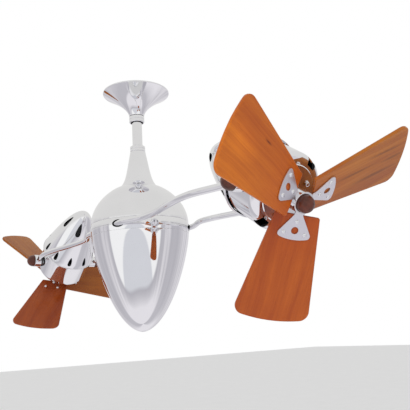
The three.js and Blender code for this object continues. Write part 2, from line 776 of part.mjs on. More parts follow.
function endPlate() {
  const z = -CAN_BACK - CLEARANCE;
  const radius = shellRadiusAt(z - END_PLATE_THICKNESS) - SHEET - 5 * CLEARANCE;
  const bossTop = z + BEARING_LENGTH;
  const plate = turned(
    [
      [SHAFT_RADIUS + CLEARANCE, z - END_PLATE_THICKNESS],
      [radius, z - END_PLATE_THICKNESS],
      [radius, z],
      [BEARING_RADIUS, z],
      [BEARING_RADIUS, bossTop],
      [SHAFT_RADIUS + CLEARANCE, bossTop],
    ],
    SMALL,
  );
  const holes = around(END_PLATE_HOLES, () =>
    rod(END_PLATE_HOLE_RADIUS, z - 2 * END_PLATE_THICKNESS, z + END_PLATE_THICKNESS, 8)
      .translate(END_PLATE_HOLE_CIRCLE, 0, 0),
  );
  return cut(plate, ...holes);
}

function stator() {
  const half = ROTOR_LENGTH / 2;
  const inner = ROTOR_RADIUS + AIR_GAP;
  const windingInner = inner + AIR_GAP;
  const windingOuter = STATOR_RADIUS - WINDING_DEPTH;
  return turned(
    [
      [inner, -half],
      [windingInner, -half],
      [windingInner, -half - WINDING_DEPTH],
      [windingOuter, -half - WINDING_DEPTH],
      [windingOuter, -half],
      [STATOR_RADIUS, -half],
      [STATOR_RADIUS, half],
      [windingOuter, half],
      [windingOuter, half + WINDING_DEPTH],
      [windingInner, half + WINDING_DEPTH],
      [windingInner, half],
      [inner, half],
    ],
    SMALL,
  ).translate(0, 0, -ROTOR_MIDDLE);
}

const hubBack = FAN_HUB_FRONT - FAN_HUB_LENGTH;
const finialMiddle = FAN_HUB_FRONT + FINIAL_STAND_OFF;
const shaftFront = hubBack + FAN_HUB_LENGTH / 3;

function rotorShaft() {
  const back = -CAN_BACK - CLEARANCE - END_PLATE_THICKNESS;
  const half = ROTOR_LENGTH / 2;
  return turned(
    [
      [0, back],
      [SHAFT_RADIUS, back],
      [SHAFT_RADIUS, -ROTOR_MIDDLE - half],
      [ROTOR_RADIUS, -ROTOR_MIDDLE - half],
      [ROTOR_RADIUS, -ROTOR_MIDDLE + half],
      [SHAFT_RADIUS, -ROTOR_MIDDLE + half],
      [SHAFT_RADIUS, shaftFront],
      [0, shaftFront],
    ],
    SMALL,
  );
}

function washer(side) {
  const outer = washerInner + WASHER_THICKNESS;
  return ring(STUD_RADIUS + CLEARANCE, WASHER_RADIUS, washerInner, outer, SMALL)
    .rotateX((-side * Math.PI) / 2);
}

function knob(side) {
  const flat = -KNOB_SEAT + CLEARANCE;
  const start = Math.asin(flat / KNOB_RADIUS);
  const ball = curve(5, (share) => {
    const angle = start + share * (Math.PI / 2 - start);
    return [share === 1 ? 0 : KNOB_RADIUS * Math.cos(angle), knobMiddle + KNOB_RADIUS * Math.sin(angle)];
  });
  const studEnd = CAN_RADIUS - 2 * CAN_WALL;
  const outline = [[0, studEnd], [STUD_RADIUS, studEnd], [STUD_RADIUS, knobMiddle + flat], ...ball];
  return turned(outline, SMALL).rotateX((-side * Math.PI) / 2);
}

// Parts of one blade lie in a frame whose X is its length and Z its face, at the bracket's plane.
function bladeFrame(geometry, turn) {
  return geometry
    .rotateX(radians(BLADE_PITCH))
    .rotateY(-radians(BLADE_CONE))
    .translate(0, 0, BRACKET_PLANE)
    .rotateZ(turn);
}

function screwPlaces() {
  return [
    [INNER_SCREW_AT, 0],
    [OUTER_SCREW_AT, OUTER_SCREW_SIDE],
    [OUTER_SCREW_AT, -OUTER_SCREW_SIDE],
  ];
}

const bladeMiddle = -BRACKET_THICKNESS / 2 - CLEARANCE - BLADE_THICKNESS / 2;
const bladeBack = bladeMiddle - BLADE_THICKNESS / 2;

function bladeShape() {
  const shape = roundedShape(
    [
      [BLADE_ROOT, -BLADE_ROOT_HALF, BLADE_CORNER / 6],
      [BLADE_REACH, -BLADE_TIP_HALF, BLADE_CORNER],
      [BLADE_REACH + 0.75 * BLADE_CROWN, -BLADE_TIP_HALF / 2, BLADE_TIP_HALF / 2],
      [BLADE_REACH + BLADE_CROWN, 0, BLADE_TIP_HALF / 2],
      [BLADE_REACH + 0.75 * BLADE_CROWN, BLADE_TIP_HALF / 2, BLADE_TIP_HALF / 2],
      [BLADE_REACH, BLADE_TIP_HALF, BLADE_CORNER],
      [BLADE_ROOT, BLADE_ROOT_HALF, BLADE_CORNER / 6],
    ],
    3,
  );
  screwPlaces().forEach(([x, y]) => shape.holes.push(circle(x, y, SCREW_RADIUS + CLEARANCE, TINY)));
  return shape;
}

function blade(turn) {
  return bladeFrame(slab(bladeShape(), BLADE_THICKNESS).translate(0, 0, bladeMiddle), turn);
}

// One screw with its head and its domed nut, turned as one piece.
function bladeScrew() {
  const face = BRACKET_THICKNESS / 2;
  const back = bladeBack - CLEARANCE;
  return turned(
    [
      [0, face + SCREW_HEAD_HEIGHT],
      [SCREW_HEAD_RADIUS, face],
      [SCREW_RADIUS, face],
      [SCREW_RADIUS, back],
      [NUT_RADIUS, back],
      [0, back - NUT_HEIGHT],
    ],
    TINY,
  );
}

function bracketShape() {
  const shape = roundedShape(
    [
      [BRACKET_FROM, -BRACKET_NECK_HALF, 1],
      [BRACKET_FROM + BRACKET_NECK_HALF, -BRACKET_NECK_HALF, BRACKET_NECK_HALF],
      [BRACKET_REACH, -BRACKET_HALF, BRACKET_CORNER],
      [BRACKET_REACH + BRACKET_CROWN, 0, BRACKET_HALF / 2],
      [BRACKET_REACH, BRACKET_HALF, BRACKET_CORNER],
      [BRACKET_FROM + BRACKET_NECK_HALF, BRACKET_NECK_HALF, BRACKET_NECK_HALF],
      [BRACKET_FROM, BRACKET_NECK_HALF, 1],
    ],
    2,
  );
  shape.holes.push(circle(BRACKET_HOLE_AT, 0, BRACKET_HOLE, 8));
  return shape;
}

function bladeBracket(turn) {
  const screws = screwPlaces().map(([x, y]) => bladeScrew().translate(x, y, 0));
  return bladeFrame(join(slab(bracketShape(), BRACKET_THICKNESS), ...screws), turn);
}

function fanHub(turns) {
  const body = turned(
    [
      [SHAFT_RADIUS + CLEARANCE, hubBack - FAN_HUB_NECK],
      [FAN_HUB_NECK_RADIUS, hubBack - FAN_HUB_NECK],
      [FAN_HUB_NECK_RADIUS, hubBack],
      [FAN_HUB_RADIUS, hubBack],
      [FAN_HUB_RADIUS, FAN_HUB_FRONT],
      [0, FAN_HUB_FRONT],
      [0, shaftFront + CLEARANCE],
      [SHAFT_RADIUS + CLEARANCE, shaftFront + CLEARANCE],
    ],
    SMALL,
  );
  const socket = new THREE.SphereGeometry(FINIAL_RADIUS + CLEARANCE, SMALL, SMALL / 2);
  const tongues = turns.map((turn) =>
    bladeFrame(
      box(FAN_HUB_RADIUS, 2 * (BRACKET_NECK_HALF + CLEARANCE), BRACKET_THICKNESS + 2 * CLEARANCE)
        .translate(BRACKET_FROM - CLEARANCE + FAN_HUB_RADIUS / 2, 0, 0),
      turn,
    ),
  );
  const studHole = rod(SCREW_RADIUS + CLEARANCE, shaftFront, FAN_HUB_FRONT, TINY);
  return cut(body, socket.rotateX(Math.PI / 2).translate(0, 0, finialMiddle), studHole, ...tongues);
}

function finial() {
  const ball = new THREE.SphereGeometry(FINIAL_RADIUS, SMALL, SMALL / 2).rotateX(Math.PI / 2);
  const studLength = finialMiddle - shaftFront - 2 * CLEARANCE;
  return join(ball, rod(SCREW_RADIUS, -studLength, 0, TINY)).translate(0, 0, finialMiddle);
}

function addHead(name, end, tilt, spin) {
  const head = new THREE.Group();
  head.position.set(end * PIVOT_X, 0, pivotHeight);
  head.rotation.y = end * radians(90 + tilt);
  fan.add(head);
  place(head, `${name}_shell`, headShell(), chrome);
  place(head, `${name}_motor_can`, motorCan(), chrome);
  place(head, `${name}_end_plate`, endPlate(), castMetal);
  place(head, `${name}_stator`, stator(), lamination);
  place(
    head,
    `${name}_front_bearing`,
    ring(SHAFT_RADIUS + CLEARANCE, BEARING_RADIUS, CAN_FRONT - BEARING_LENGTH, CAN_FRONT - CLEARANCE, SMALL),
    zincSteel,
  );
  for (const [sideName, side] of [["front", -1], ["rear", 1]]) {
    place(head, `${name}_washer_${sideName}`, washer(side), nylon);
    place(head, `${name}_knob_${sideName}`, knob(side), darkWood);
  }
  const turns = Array.from({ length: BLADES }, (_, index) => radians(spin) + (index * 2 * Math.PI) / BLADES);
  place(head, `${name}_rotor`, rotorShaft(), lamination);
  place(head, `${name}_fan_hub`, fanHub(turns), chrome);
  place(head, `${name}_finial`, finial(), darkWood);
  turns.forEach((turn, index) => {
    place(head, `${name}_blade_${index + 1}`, blade(turn), mahogany);
    place(head, `${name}_blade_bracket_${index + 1}`, bladeBracket(turn), chrome);
  });
}

addHead("right", 1, RIGHT_TILT, RIGHT_SPIN);
addHead("left", -1, LEFT_TILT, LEFT_SPIN);

export default fan;
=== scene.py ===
"""A twin head ceiling fan in polished chrome and lacquered wood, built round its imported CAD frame.

Lengths are in metres. Each head has a frame of its own, whose Z is the fan's axis, pointing out of
the blades, and whose Y is the tilt axis. A piece is made there and then moved to its place.
"""

import json
import math

import bmesh
import bpy
from bpy.props import FloatProperty, FloatVectorProperty, IntProperty, PointerProperty
from mathutils import Matrix, Vector


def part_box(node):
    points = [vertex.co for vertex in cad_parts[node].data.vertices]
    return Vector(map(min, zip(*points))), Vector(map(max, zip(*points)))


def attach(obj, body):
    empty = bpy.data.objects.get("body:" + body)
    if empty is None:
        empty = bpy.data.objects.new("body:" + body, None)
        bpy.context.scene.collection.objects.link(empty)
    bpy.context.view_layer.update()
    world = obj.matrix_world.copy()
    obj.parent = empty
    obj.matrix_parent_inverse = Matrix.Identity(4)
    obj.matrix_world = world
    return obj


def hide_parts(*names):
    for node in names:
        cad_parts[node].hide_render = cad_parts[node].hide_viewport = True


bl_info = {
    "name": "Twin Head Ceiling Fan",
    "version": (1, 0, 0),
    "blender": (4, 5, 0),
    "location": "View3D > Sidebar > Ceiling Fan",
    "description": "Dresses the packed frame of a twin head ceiling fan",
    "category": "Object",
}

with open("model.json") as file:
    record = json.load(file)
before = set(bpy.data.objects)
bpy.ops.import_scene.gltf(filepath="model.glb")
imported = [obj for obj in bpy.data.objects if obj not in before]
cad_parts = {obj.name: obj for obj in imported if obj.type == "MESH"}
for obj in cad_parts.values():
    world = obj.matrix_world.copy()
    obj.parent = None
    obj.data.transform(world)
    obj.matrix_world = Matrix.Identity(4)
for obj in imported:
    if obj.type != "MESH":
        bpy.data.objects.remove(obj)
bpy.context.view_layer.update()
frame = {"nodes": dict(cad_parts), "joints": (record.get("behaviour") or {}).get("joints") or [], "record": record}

FULL_TURN = 2 * math.pi
QUARTER = math.pi / 2
HEADS = {"right": 1, "left": -1}
SIDES = {"front": -1, "rear": 1}
BLADES = 3

# How finely round pieces are drawn.
LARGE_STEPS = 128
MIDDLE_STEPS = 72
SMALL_STEPS = 32
ROD_STEPS = 150

# Points this close are one, and pieces that meet stand this far apart.
WELD = 1e-6
GAP = 0.0003

# Radii, walls and depths of parts that fit into one another.
STUD = 0.005
STUD_HOLE = 0.0053
CAN_WALL = 0.002
CAN_BORE = 0.0113
BAND_DEPTH = 0.01
# The shell's inside beyond this depth is painted black as shade.
PAINTED_SHADE_DEPTH = 0.014  # behind the shell's rim, where its dark inside begins
KNOB_OUT = 0.003  # from a sleeve's end to the middle of the ball on it

# Small details of the cans and collars.
DISC_RISE = 0.0012
CAN_SCREW = 0.004
CAN_SCREW_CIRCLE = 0.04
BOSS = 0.013
SET_SCREW = 0.002

# How far edges are rounded.
COVER_EDGE = 0.0004
FINE_EDGE = 0.0005
SMALL_EDGE = 0.0006
TURNED_EDGE = 0.0009

# How far apart in the timber the blades are cut.
CUT_STEP = (0.31, 0.17, 0.05)

# Soft spots on the blades: half length and half width, and for streaks their places too. The root spot is painted
# shade round the hub and bracket, and the glow spot is a painted highlight.
ROOT_SHADE_SPOT = (0.11, 0.11)
KNOT_SPOT = (0.011, 0.0022)
# Size of the painted highlight on the upper blade.
PAINTED_HIGHLIGHT_SPOT = (0.045, 0.03)
STREAKS = (
    ((0.105, 0.006), (0.050, 0.0045)),
    ((0.150, -0.022), (0.060, 0.0060)),
    ((0.165, 0.026), (0.045, 0.0040)),
    ((0.185, 0.002), (0.030, 0.0050)),
)

# The camera's directions, its place from the rods' level, and its step to the right.
CAMERA_RIGHT = (0.5616, 0.8256, -0.0544)
CAMERA_FORWARD = (-0.8008, 0.5589, 0.2154)
CAMERA_PLACE = (1.1932, -0.6459, -0.244)
CAMERA_ASIDE = 0.0018

# Each lamp's name, place, size and share of the key light's power.
LAMPS = (
    ("Key", (2.3, -2.0, 0.4), 1.6, 1),
    ("Side", (-2.2, -1.8, 0.3), 1.4, 0.45),
    ("Back", (0.4, 2.6, 0.7), 1.2, 0.3),
    ("Low", (1.4, -0.6, -1.7), 1.6, 0.25),
)


# ---------------------------------------------------------------- sizes and colours
def number(label, default, about, digits=4, **more):
    return FloatProperty(
        name=label, description=about, default=default, precision=digits, **more
    )


def length(label, default, about):
    return number(label, default, about, min=0, unit="LENGTH")


def offset(label, default, about):
    """A length that may be negative."""
    return number(label, default, about, unit="LENGTH")


def angle(label, default, about):
    return number(label, math.radians(default), about, 3, unit="ROTATION")


def count(label, default, about):
    return IntProperty(name=label, description=about, default=default, min=1)


def amount(label, default, about):
    return number(label, default, about, 3, min=0)


def colour(label, default, about):
    return FloatVectorProperty(
        name=label, description=about, default=default, min=0, max=2, size=3, subtype="COLOR"
    )


def half_width(node):
    """The radius of a turned CAD node, which has a corner on the Y axis."""
    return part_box(node)[1].y


def top(node):
    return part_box(node)[1].z


def bottom(node):
    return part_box(node)[0].z


class FanBodySizes(bpy.types.PropertyGroup):
    wall: length("Wall", 0.0016, "Thickness of the spun covers")
    lip: length("Canopy lip", 0.0025, "Straight rim of the canopy at the ceiling")
    throat: length("Throat", 0.0182, "Radius of the canopy's lower end and of the neck's upper end")
    canopy_flare: amount("Canopy flare", 1.75, "Power of the canopy's trumpet curve")
    neck_taper: length("Neck taper", 0.017, "How much the neck widens as a straight cone")
    neck_power: amount("Neck flare", 7, "Power of the flare at the foot of the neck")
    dome_power: amount("Dome swell", 0.77, "Power of the dome's curve")
    bowl_fullness: amount("Bowl fullness", 1.3, "First power of the bowl's curve")
    bowl_roundness: amount("Bowl roundness", 0.533, "Second power of the bowl's curve")
    band_crown: length("Band crown", 0.0015, "How far the middle of the band stands out")
    collar_groove: length("Collar groove", 0.0006, "Depth of the turned line on each collar")


class FanArmSizes(bpy.types.PropertyGroup):
    radius: length("Rod radius", 0.00635, "Radius of the bent rods")
    slot: length("Slot", 0.091, "Distance of the slots from the middle plane")
    waist_at: length("Waist place", 0.156, "Where each pair of rods comes closest")
    waist: length("Waist", 0.0706, "Distance of a rod from the middle plane at the waist")
    flare_at: length("Flare place", 0.368, "Where each pair of rods is widest")
    flare: length("Flare", 0.104, "Distance of a rod from the middle plane at the flare")
    sleeve: length("Sleeve radius", 0.017, "Radius of the sleeve on each rod end")
    sleeve_length: length("Sleeve length", 0.0177, "Length of that sleeve")
    grommet_wall: length("Grommet wall", 0.0016, "Wall of the nylon grommets")


class FanHeadSizes(bpy.types.PropertyGroup):
    can: length("Can radius", 0.07, "Radius of the motor can")
    can_front: length("Can front", 0.034, "Front of the can, ahead of the tilt axis")
    can_back: length("Can back", 0.046, "Open back of the can, behind the tilt axis")
    shoulder: length("Shoulder depth", 0.013, "Depth of the can's rounded front edge")
    shoulder_width: length("Shoulder width", 0.014, "Width of the can's rounded front edge")
    vents: count("Can vents", 6, "How many vents the shoulder has")
    vent_width: length("Can vent", 0.022, "Width of each vent in the shoulder")
    vent_turn: angle("Can vent turn", 30, "Where the first vent of the can lies")
    cover_disc: length("Cover disc", 0.05, "Radius of the raised disc on the can's front")
    shell: length("Shell radius", 0.074, "Radius of the bullet shell at its rim")
    shell_rim: length("Shell rim", 0.045, "The shell's rim, behind the tilt axis")
    shell_length: length("Shell length", 0.154, "Length of the shell along its axis")
    shell_power: amount("Shell curve", 0.52, "Power of the shell's curve")
    rim_bead: length("Rim bead", 0.0011, "Radius of the rolled bead on the shell's rim")
    long_vents: count("Long vents", 5, "How many vents there are near the tip")
    long_vent: length("Long vent", 0.037, "Length of the vents near the tip")
    long_vent_width: length("Long vent width", 0.014, "Width of the vents near the tip")
    long_vent_rim: length("Long vent place", 0.095, "Distance of those vents from the rim")
    long_vent_turn: angle("Long vent turn", 57.6, "Where the first of those vents lies")
    short_vents: count("Short vents", 10, "How many vents there are near the rim")
    short_vent: length("Short vent", 0.027, "Length of the vents near the rim")
    short_vent_width: length("Short vent width", 0.0105, "Width of the vents near the rim")
    short_vent_rim: length("Short vent place", 0.0065, "Distance of those vents from the rim")
    short_vent_turn: angle("Short vent turn", 15.5, "Where the first of those vents lies")
    knob: length("Knob radius", 0.016, "Radius of the clamping knobs")
    washer: length("Washer radius", 0.0155, "Radius of the nylon washers")
    hub: length("Hub radius", 0.019, "Radius of the fan hub")
    hub_neck: length("Hub neck", 0.012, "Radius of the fan hub's rear neck")
    hub_front: length("Hub front", 0.0765, "Front of the hub, ahead of the tilt axis")
    hub_length: length("Hub length", 0.027, "Length of the hub without its neck")
    finial: length("Finial radius", 0.015, "Radius of the ball on the hub")
    finial_out: length("Finial place", 0.079, "Middle of the ball, ahead of the tilt axis")


class FanBladeSizes(bpy.types.PropertyGroup):
    pitch: angle("Pitch", 21.7, "Turn of each blade about its length")
    cone: angle("Cone", 3, "How far the blades lean forward")
    right_spin: angle("Right spin", 1.6, "Where the right fan's first blade stands")
    left_spin: angle("Left spin", 90.3, "Where the left fan's first blade stands")
    root: length("Root", 0.022, "Distance of the blade's root from the fan's axis")
    reach: length("Reach", 0.202, "Distance of the tip's corners from the fan's axis")
    crown: length("Crown", 0.009, "Bulge of the tip")
    root_half: length("Root half width", 0.0382, "Half the blade's width at its root")
    tip_half: length("Tip half width", 0.0677, "Half the blade's width at its tip")
    thickness: length("Thickness", 0.006, "Thickness of the blade")
    corner: length("Tip corner", 0.016, "Rounding of the tip's corners")
    # Painted shade: the wood round each blade's root is darkened where the hub and bracket shade it.
    root_painted_shade: colour("Root tone", (0.92, 0.74, 0.72), "Shade of the wood round the root")
    streak_tone: colour("Streak tone", (0.62, 0.62, 0.72), "Shade of the right blade's streaks")
    knot_at: length("Knot place", 0.125, "Distance of the knot along the upper blade")
    knot_side: offset("Knot side", -0.030, "Sideways distance of that knot")
    knot_tone: colour("Knot tone", (0.35, 0.25, 0.3), "Shade of that knot")
    # A painted highlight: the bright patch on the upper blade is the light's sheen on the lacquer, painted into
    # the wood's colour.
    painted_highlight_at: length("Bright patch place", 0.175, "Distance of the bright patch along that blade")
    painted_highlight_side: offset("Bright patch side", 0.0, "Sideways distance of that patch")
    painted_highlight_tone: colour("Bright patch tone", (1.22, 1.3, 1.1), "Shade of that patch")
    edge: length("Edge rounding", 0.0018, "Rounding of the blade's edges")
    plane: length("Bracket plane", 0.071, "Middle of the brackets, ahead of the tilt axis")
    plate: length("Bracket thickness", 0.0025, "Thickness of the blade brackets")
    plate_from: length("Bracket root", 0.0145, "Inner end of a bracket")
    plate_reach: length("Bracket reach", 0.059, "Distance of a bracket's corners from the axis")
    plate_crown: length("Bracket crown", 0.007, "Bulge of the bracket's outer edge")
    neck_half: length("Bracket neck", 0.007, "Half the bracket's width at the hub")
    plate_half: length("Bracket half width", 0.032, "Half the bracket's width at its corners")
    plate_corner: length("Bracket corner", 0.010, "Rounding of the bracket's corners")
    hole: length("Bracket hole", 0.006, "Radius of the bracket's round hole")
    hole_at: length("Bracket hole place", 0.048, "Distance of that hole from the axis")
    inner_screw: length("Inner screw", 0.033, "Distance of the single screw from the axis")
    outer_screw: length("Outer screws", 0.053, "Distance of the two outer screws along the blade")
    screw_side: length("Screw spread", 0.018, "Sideways distance of the outer screws")
    screw: length("Screw head", 0.0036, "Radius of a screw's head")
    nut: length("Nut", 0.0044, "Radius of a domed nut")


class FanFinishes(bpy.types.PropertyGroup):
    chrome: colour("Chrome", (0.87, 0.87, 0.885), "Polished chrome plate")
    bracket: colour("Bracket metal", (0.82, 0.81, 0.86), "Satin chrome of the blade brackets")
    wood_pale: colour("Blade wood, pale", (0.62, 0.185, 0.015), "Pale streaks of the blades")
    wood_deep: colour("Blade wood, deep", (0.41, 0.090, 0.008), "Dark streaks of the blades")
    knob_pale: colour("Ball wood, pale", (0.15, 0.032, 0.014), "Pale streaks of the turned balls")
    knob_deep: colour("Ball wood, deep", (0.045, 0.011, 0.006), "Dark streaks of the turned balls")
    nylon: colour("Nylon", (0.012, 0.012, 0.014), "Black nylon")
    steel: colour("Zinc steel", (0.50, 0.52, 0.55), "Zinc plated steel")
    casting: colour("Casting", (0.34, 0.35, 0.37), "Bare cast metal")
    lamination: colour("Lamination", (0.035, 0.030, 0.028), "Varnished iron and windings")
    copper: colour("Ring metal", (0.55, 0.25, 0.12), "Slip rings")


# Each blade's tone is partly a real difference in its wood and partly painted light and shade for how the light
# falls on that blade.
class FanBladeToneAndShade(bpy.types.PropertyGroup):
    right_blade_1: colour("Right blade 1", (0.82, 0.60, 0.58), "Tone of that blade's wood")
    right_blade_2: colour("Right blade 2", (0.80, 0.88, 0.88), "Tone of that blade's wood")
    right_blade_3: colour("Right blade 3", (1.04, 0.92, 0.5), "Tone of that blade's wood")
    left_blade_1: colour("Left blade 1", (0.57, 0.56, 0.62), "Tone of that blade's wood")
    left_blade_2: colour("Left blade 2", (0.60, 0.40, 0.50), "Tone of that blade's wood")
    left_blade_3: colour("Left blade 3", (0.70, 0.78, 0.52), "Tone of that blade's wood")


class FanStage(bpy.types.PropertyGroup):
    floor_drop: length("Floor", 1.9, "Distance of the floor below the ceiling")
    floor_size: length("Floor size", 60, "Side of the square floor")
    lens: amount("Lens", 51.26, "Focal length of the camera in millimetres")
    backdrop: amount("Backdrop", 1, "Brightness of the white background")
    room: amount("Room", 0.72, "Brightness of the studio's walls")
    key: amount("Key light", 20, "Power of the large front light in watts")
    ceiling: colour("Ceiling", (0.78, 0.775, 0.76), "What mirrors see above")
    front: colour("Front", (1.0, 1.0, 1.0), "What mirrors see behind the camera")
    middle: colour("Middle", (0.72, 0.73, 0.77), "What mirrors see close round the camera")
    back: colour("Back", (0.82, 0.80, 0.83), "What mirrors see behind the fan")
    band: colour("Bands", (0.50, 0.49, 0.53), "Darker bands of that back wall")
    ground: colour("Ground", (0.87, 0.85, 0.885), "What mirrors see below")


SETTINGS = {
    "fan_body": FanBodySizes,
    "fan_arms": FanArmSizes,
    "fan_heads": FanHeadSizes,
    "fan_blades": FanBladeSizes,
    "fan_finishes": FanFinishes,
    "fan_tones": FanBladeToneAndShade,
    "fan_stage": FanStage,
}


# ---------------------------------------------------------------- shaping helpers
def curve(steps, at):
    """Points along a curve, where at turns a share from 0 to 1 into a point."""
    return [at(index / steps) for index in range(steps + 1)]


def shift(x=0, y=0, z=0):
    return Matrix.Translation((x, y, z))


def rotation(turn, axis):
    return Matrix.Rotation(turn, 4, axis)


def turned(outline, steps=LARGE_STEPS):
    """A closed body turned about Z from its outline of (radius, height) points."""
    bm = bmesh.new()
    verts = [bm.verts.new((radius, 0, height)) for radius, height in outline]
    edges = [bm.edges.new(pair) for pair in zip(verts, verts[1:])]
    if outline[0][0] > 0:
        edges.append(bm.edges.new((verts[-1], verts[0])))
    bmesh.ops.spin(
        bm, geom=verts + edges, cent=(0, 0, 0), axis=(0, 0, 1), angle=FULL_TURN, steps=steps,
        use_merge=True, use_duplicate=False,
    )
    bmesh.ops.remove_doubles(bm, verts=bm.verts, dist=WELD)
    bmesh.ops.recalc_face_normals(bm, faces=bm.faces)
    return bm


def cylinder(radius, low, high, steps=SMALL_STEPS):
    return turned([(0, low), (radius, low), (radius, high), (0, high)], steps)


def tube(inner, outer, low, high, steps=MIDDLE_STEPS):
    return turned([(inner, low), (outer, low), (outer, high), (inner, high)], steps)


def domed(radius, base, height, foot, power=1):
    """A dome on a flat foot, such as a screw's head or a nut's cap."""

    def edge(share):
        turn = share * QUARTER
        wide = 0 if share == 1 else radius * math.cos(turn) ** power
        return (wide, base + height * math.sin(turn))

    return turned(curve(8, edge) + [(0, foot)], 24)


def bevelled(bm, geom, width, segments, affect="EDGES", clamped=False):
    bmesh.ops.bevel(
        bm, geom=geom, offset=width, offset_type="OFFSET", affect=affect, segments=segments,
        profile=0.5, material=-1, clamp_overlap=clamped,
    )
    return bm


def eased(bm, width, segments=3, sharper_than=35):
    """Rounds every edge that is sharper than an angle."""
    limit = math.radians(sharper_than)
    edges = [e for e in bm.edges if len(e.link_faces) == 2 and e.calc_face_angle() > limit]
    return bevelled(bm, edges, width, segments, clamped=True)


def with_wall(outline, wall):
    """The outline of a cover: its outer line going down, and the same line a wall further in."""
    inner = []
    for index, (radius, height) in enumerate(outline):
        before = Vector(outline[max(index - 1, 0)])
        after = Vector(outline[min(index + 1, len(outline) - 1)])
        along = (after - before).normalized()
        if radius == 0:
            inner.append((0, height + wall * (1 if after.y < before.y else -1)))
        else:
            inner.append((radius + along.y * wall, height - along.x * wall))
    return outline + inner[::-1]


def moved(bm, *steps):
    for matrix in steps:
        bmesh.ops.transform(bm, matrix=matrix, verts=bm.verts)
    return bm


def joined(*parts):
    """One bmesh that holds all the given ones, which are freed."""
    whole = bmesh.new()
    for part in parts:
        carrier = bpy.data.meshes.new("part")
        part.to_mesh(carrier)
        part.free()
        whole.from_mesh(carrier)
        bpy.data.meshes.remove(carrier)
    return whole


def around(number, make, start=0):
    """Copies of one cutter or fastener spaced round Z."""
    turns = (start + FULL_TURN * index / number for index in range(number))
    return joined(*(moved(make(), rotation(turn, "Z")) for turn in turns))


def carved(bm, cutter, operation="DIFFERENCE"):
    """The body after a boolean with the cutter. Both are freed."""
    objects = []
    for part in (bm, cutter):
        mesh = bpy.data.meshes.new("carving")
        part.to_mesh(mesh)
        part.free()
        obj = bpy.data.objects.new("carving", mesh)
        bpy.context.scene.collection.objects.link(obj)
        objects.append(obj)
    body, tool = objects
    boolean = body.modifiers.new("Carve", "BOOLEAN")
    boolean.operation = operation
    boolean.solver = "EXACT"
    boolean.object = tool
    graph = bpy.context.evaluated_depsgraph_get()
    graph.update()
    result = bmesh.new()
    result.from_object(body, graph)
    for obj in objects:
        mesh = obj.data
        bpy.data.objects.remove(obj)
        bpy.data.meshes.remove(mesh)
    bmesh.ops.remove_doubles(result, verts=result.verts, dist=WELD)
    return result


def plate(corners, thickness):
    """A flat plate, centred on Z, from (x, y, rounding) corners."""
    bm = bmesh.new()
    verts = [bm.verts.new((x, y, -thickness / 2)) for x, y, _ in corners]
    bm.faces.new(verts)
    for vert, (_, _, rounding) in zip(verts, corners):
        if rounding:
            bevelled(bm, [vert], rounding, 10, "VERTICES")
    raised = bmesh.ops.extrude_face_region(bm, geom=list(bm.faces))["geom"]
    bmesh.ops.translate(bm, vec=(0, 0, thickness), verts=verts_of(raised))
    bmesh.ops.recalc_face_normals(bm, faces=bm.faces)
    return bm


def verts_of(geom):
    return [g for g in geom if isinstance(g, bmesh.types.BMVert)]


def painted_shade_inside(bm, below):
    """Gives the faces below a height that look at the body's own axis the second material, which paints shade into
    the hollow inside.
    """
    for face in bm.faces:
        centre = face.calc_center_median()
        outward = Vector((centre.x, centre.y, 0))
        if face.normal.dot(outward) < 0 and centre.z < below:
            face.material_index = 1
    return bm


def finished(name, bm, material, body, node, sharper_than=32, inside=None):
    """Makes a bmesh an object that rides on a body and stands for a CAD node, or for none."""
    limit = math.radians(sharper_than)
    for face in bm.faces:
        face.smooth = True
    for edge in bm.edges:
        edge.smooth = len(edge.link_faces) == 2 and edge.calc_face_angle() < limit
    mesh = bpy.data.meshes.new(name)
    mesh.materials.append(material)
    if inside:
        mesh.materials.append(inside)
    bm.to_mesh(mesh)
    bm.free()
    obj = bpy.data.objects.new(name, mesh)
    bpy.context.scene.collection.objects.link(obj)
    obj.modifiers.new("Even shading", "WEIGHTED_NORMAL").keep_sharp = True
    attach(obj, body)
    if node:
        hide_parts(node)


def cover(name, line, body, node, *easing):
    """A spun chrome cover, from its outer line."""
    bm = eased(turned(with_wall(line, settings("fan_body").wall)), *easing)
    finished(name, bm, chrome(), body, node)


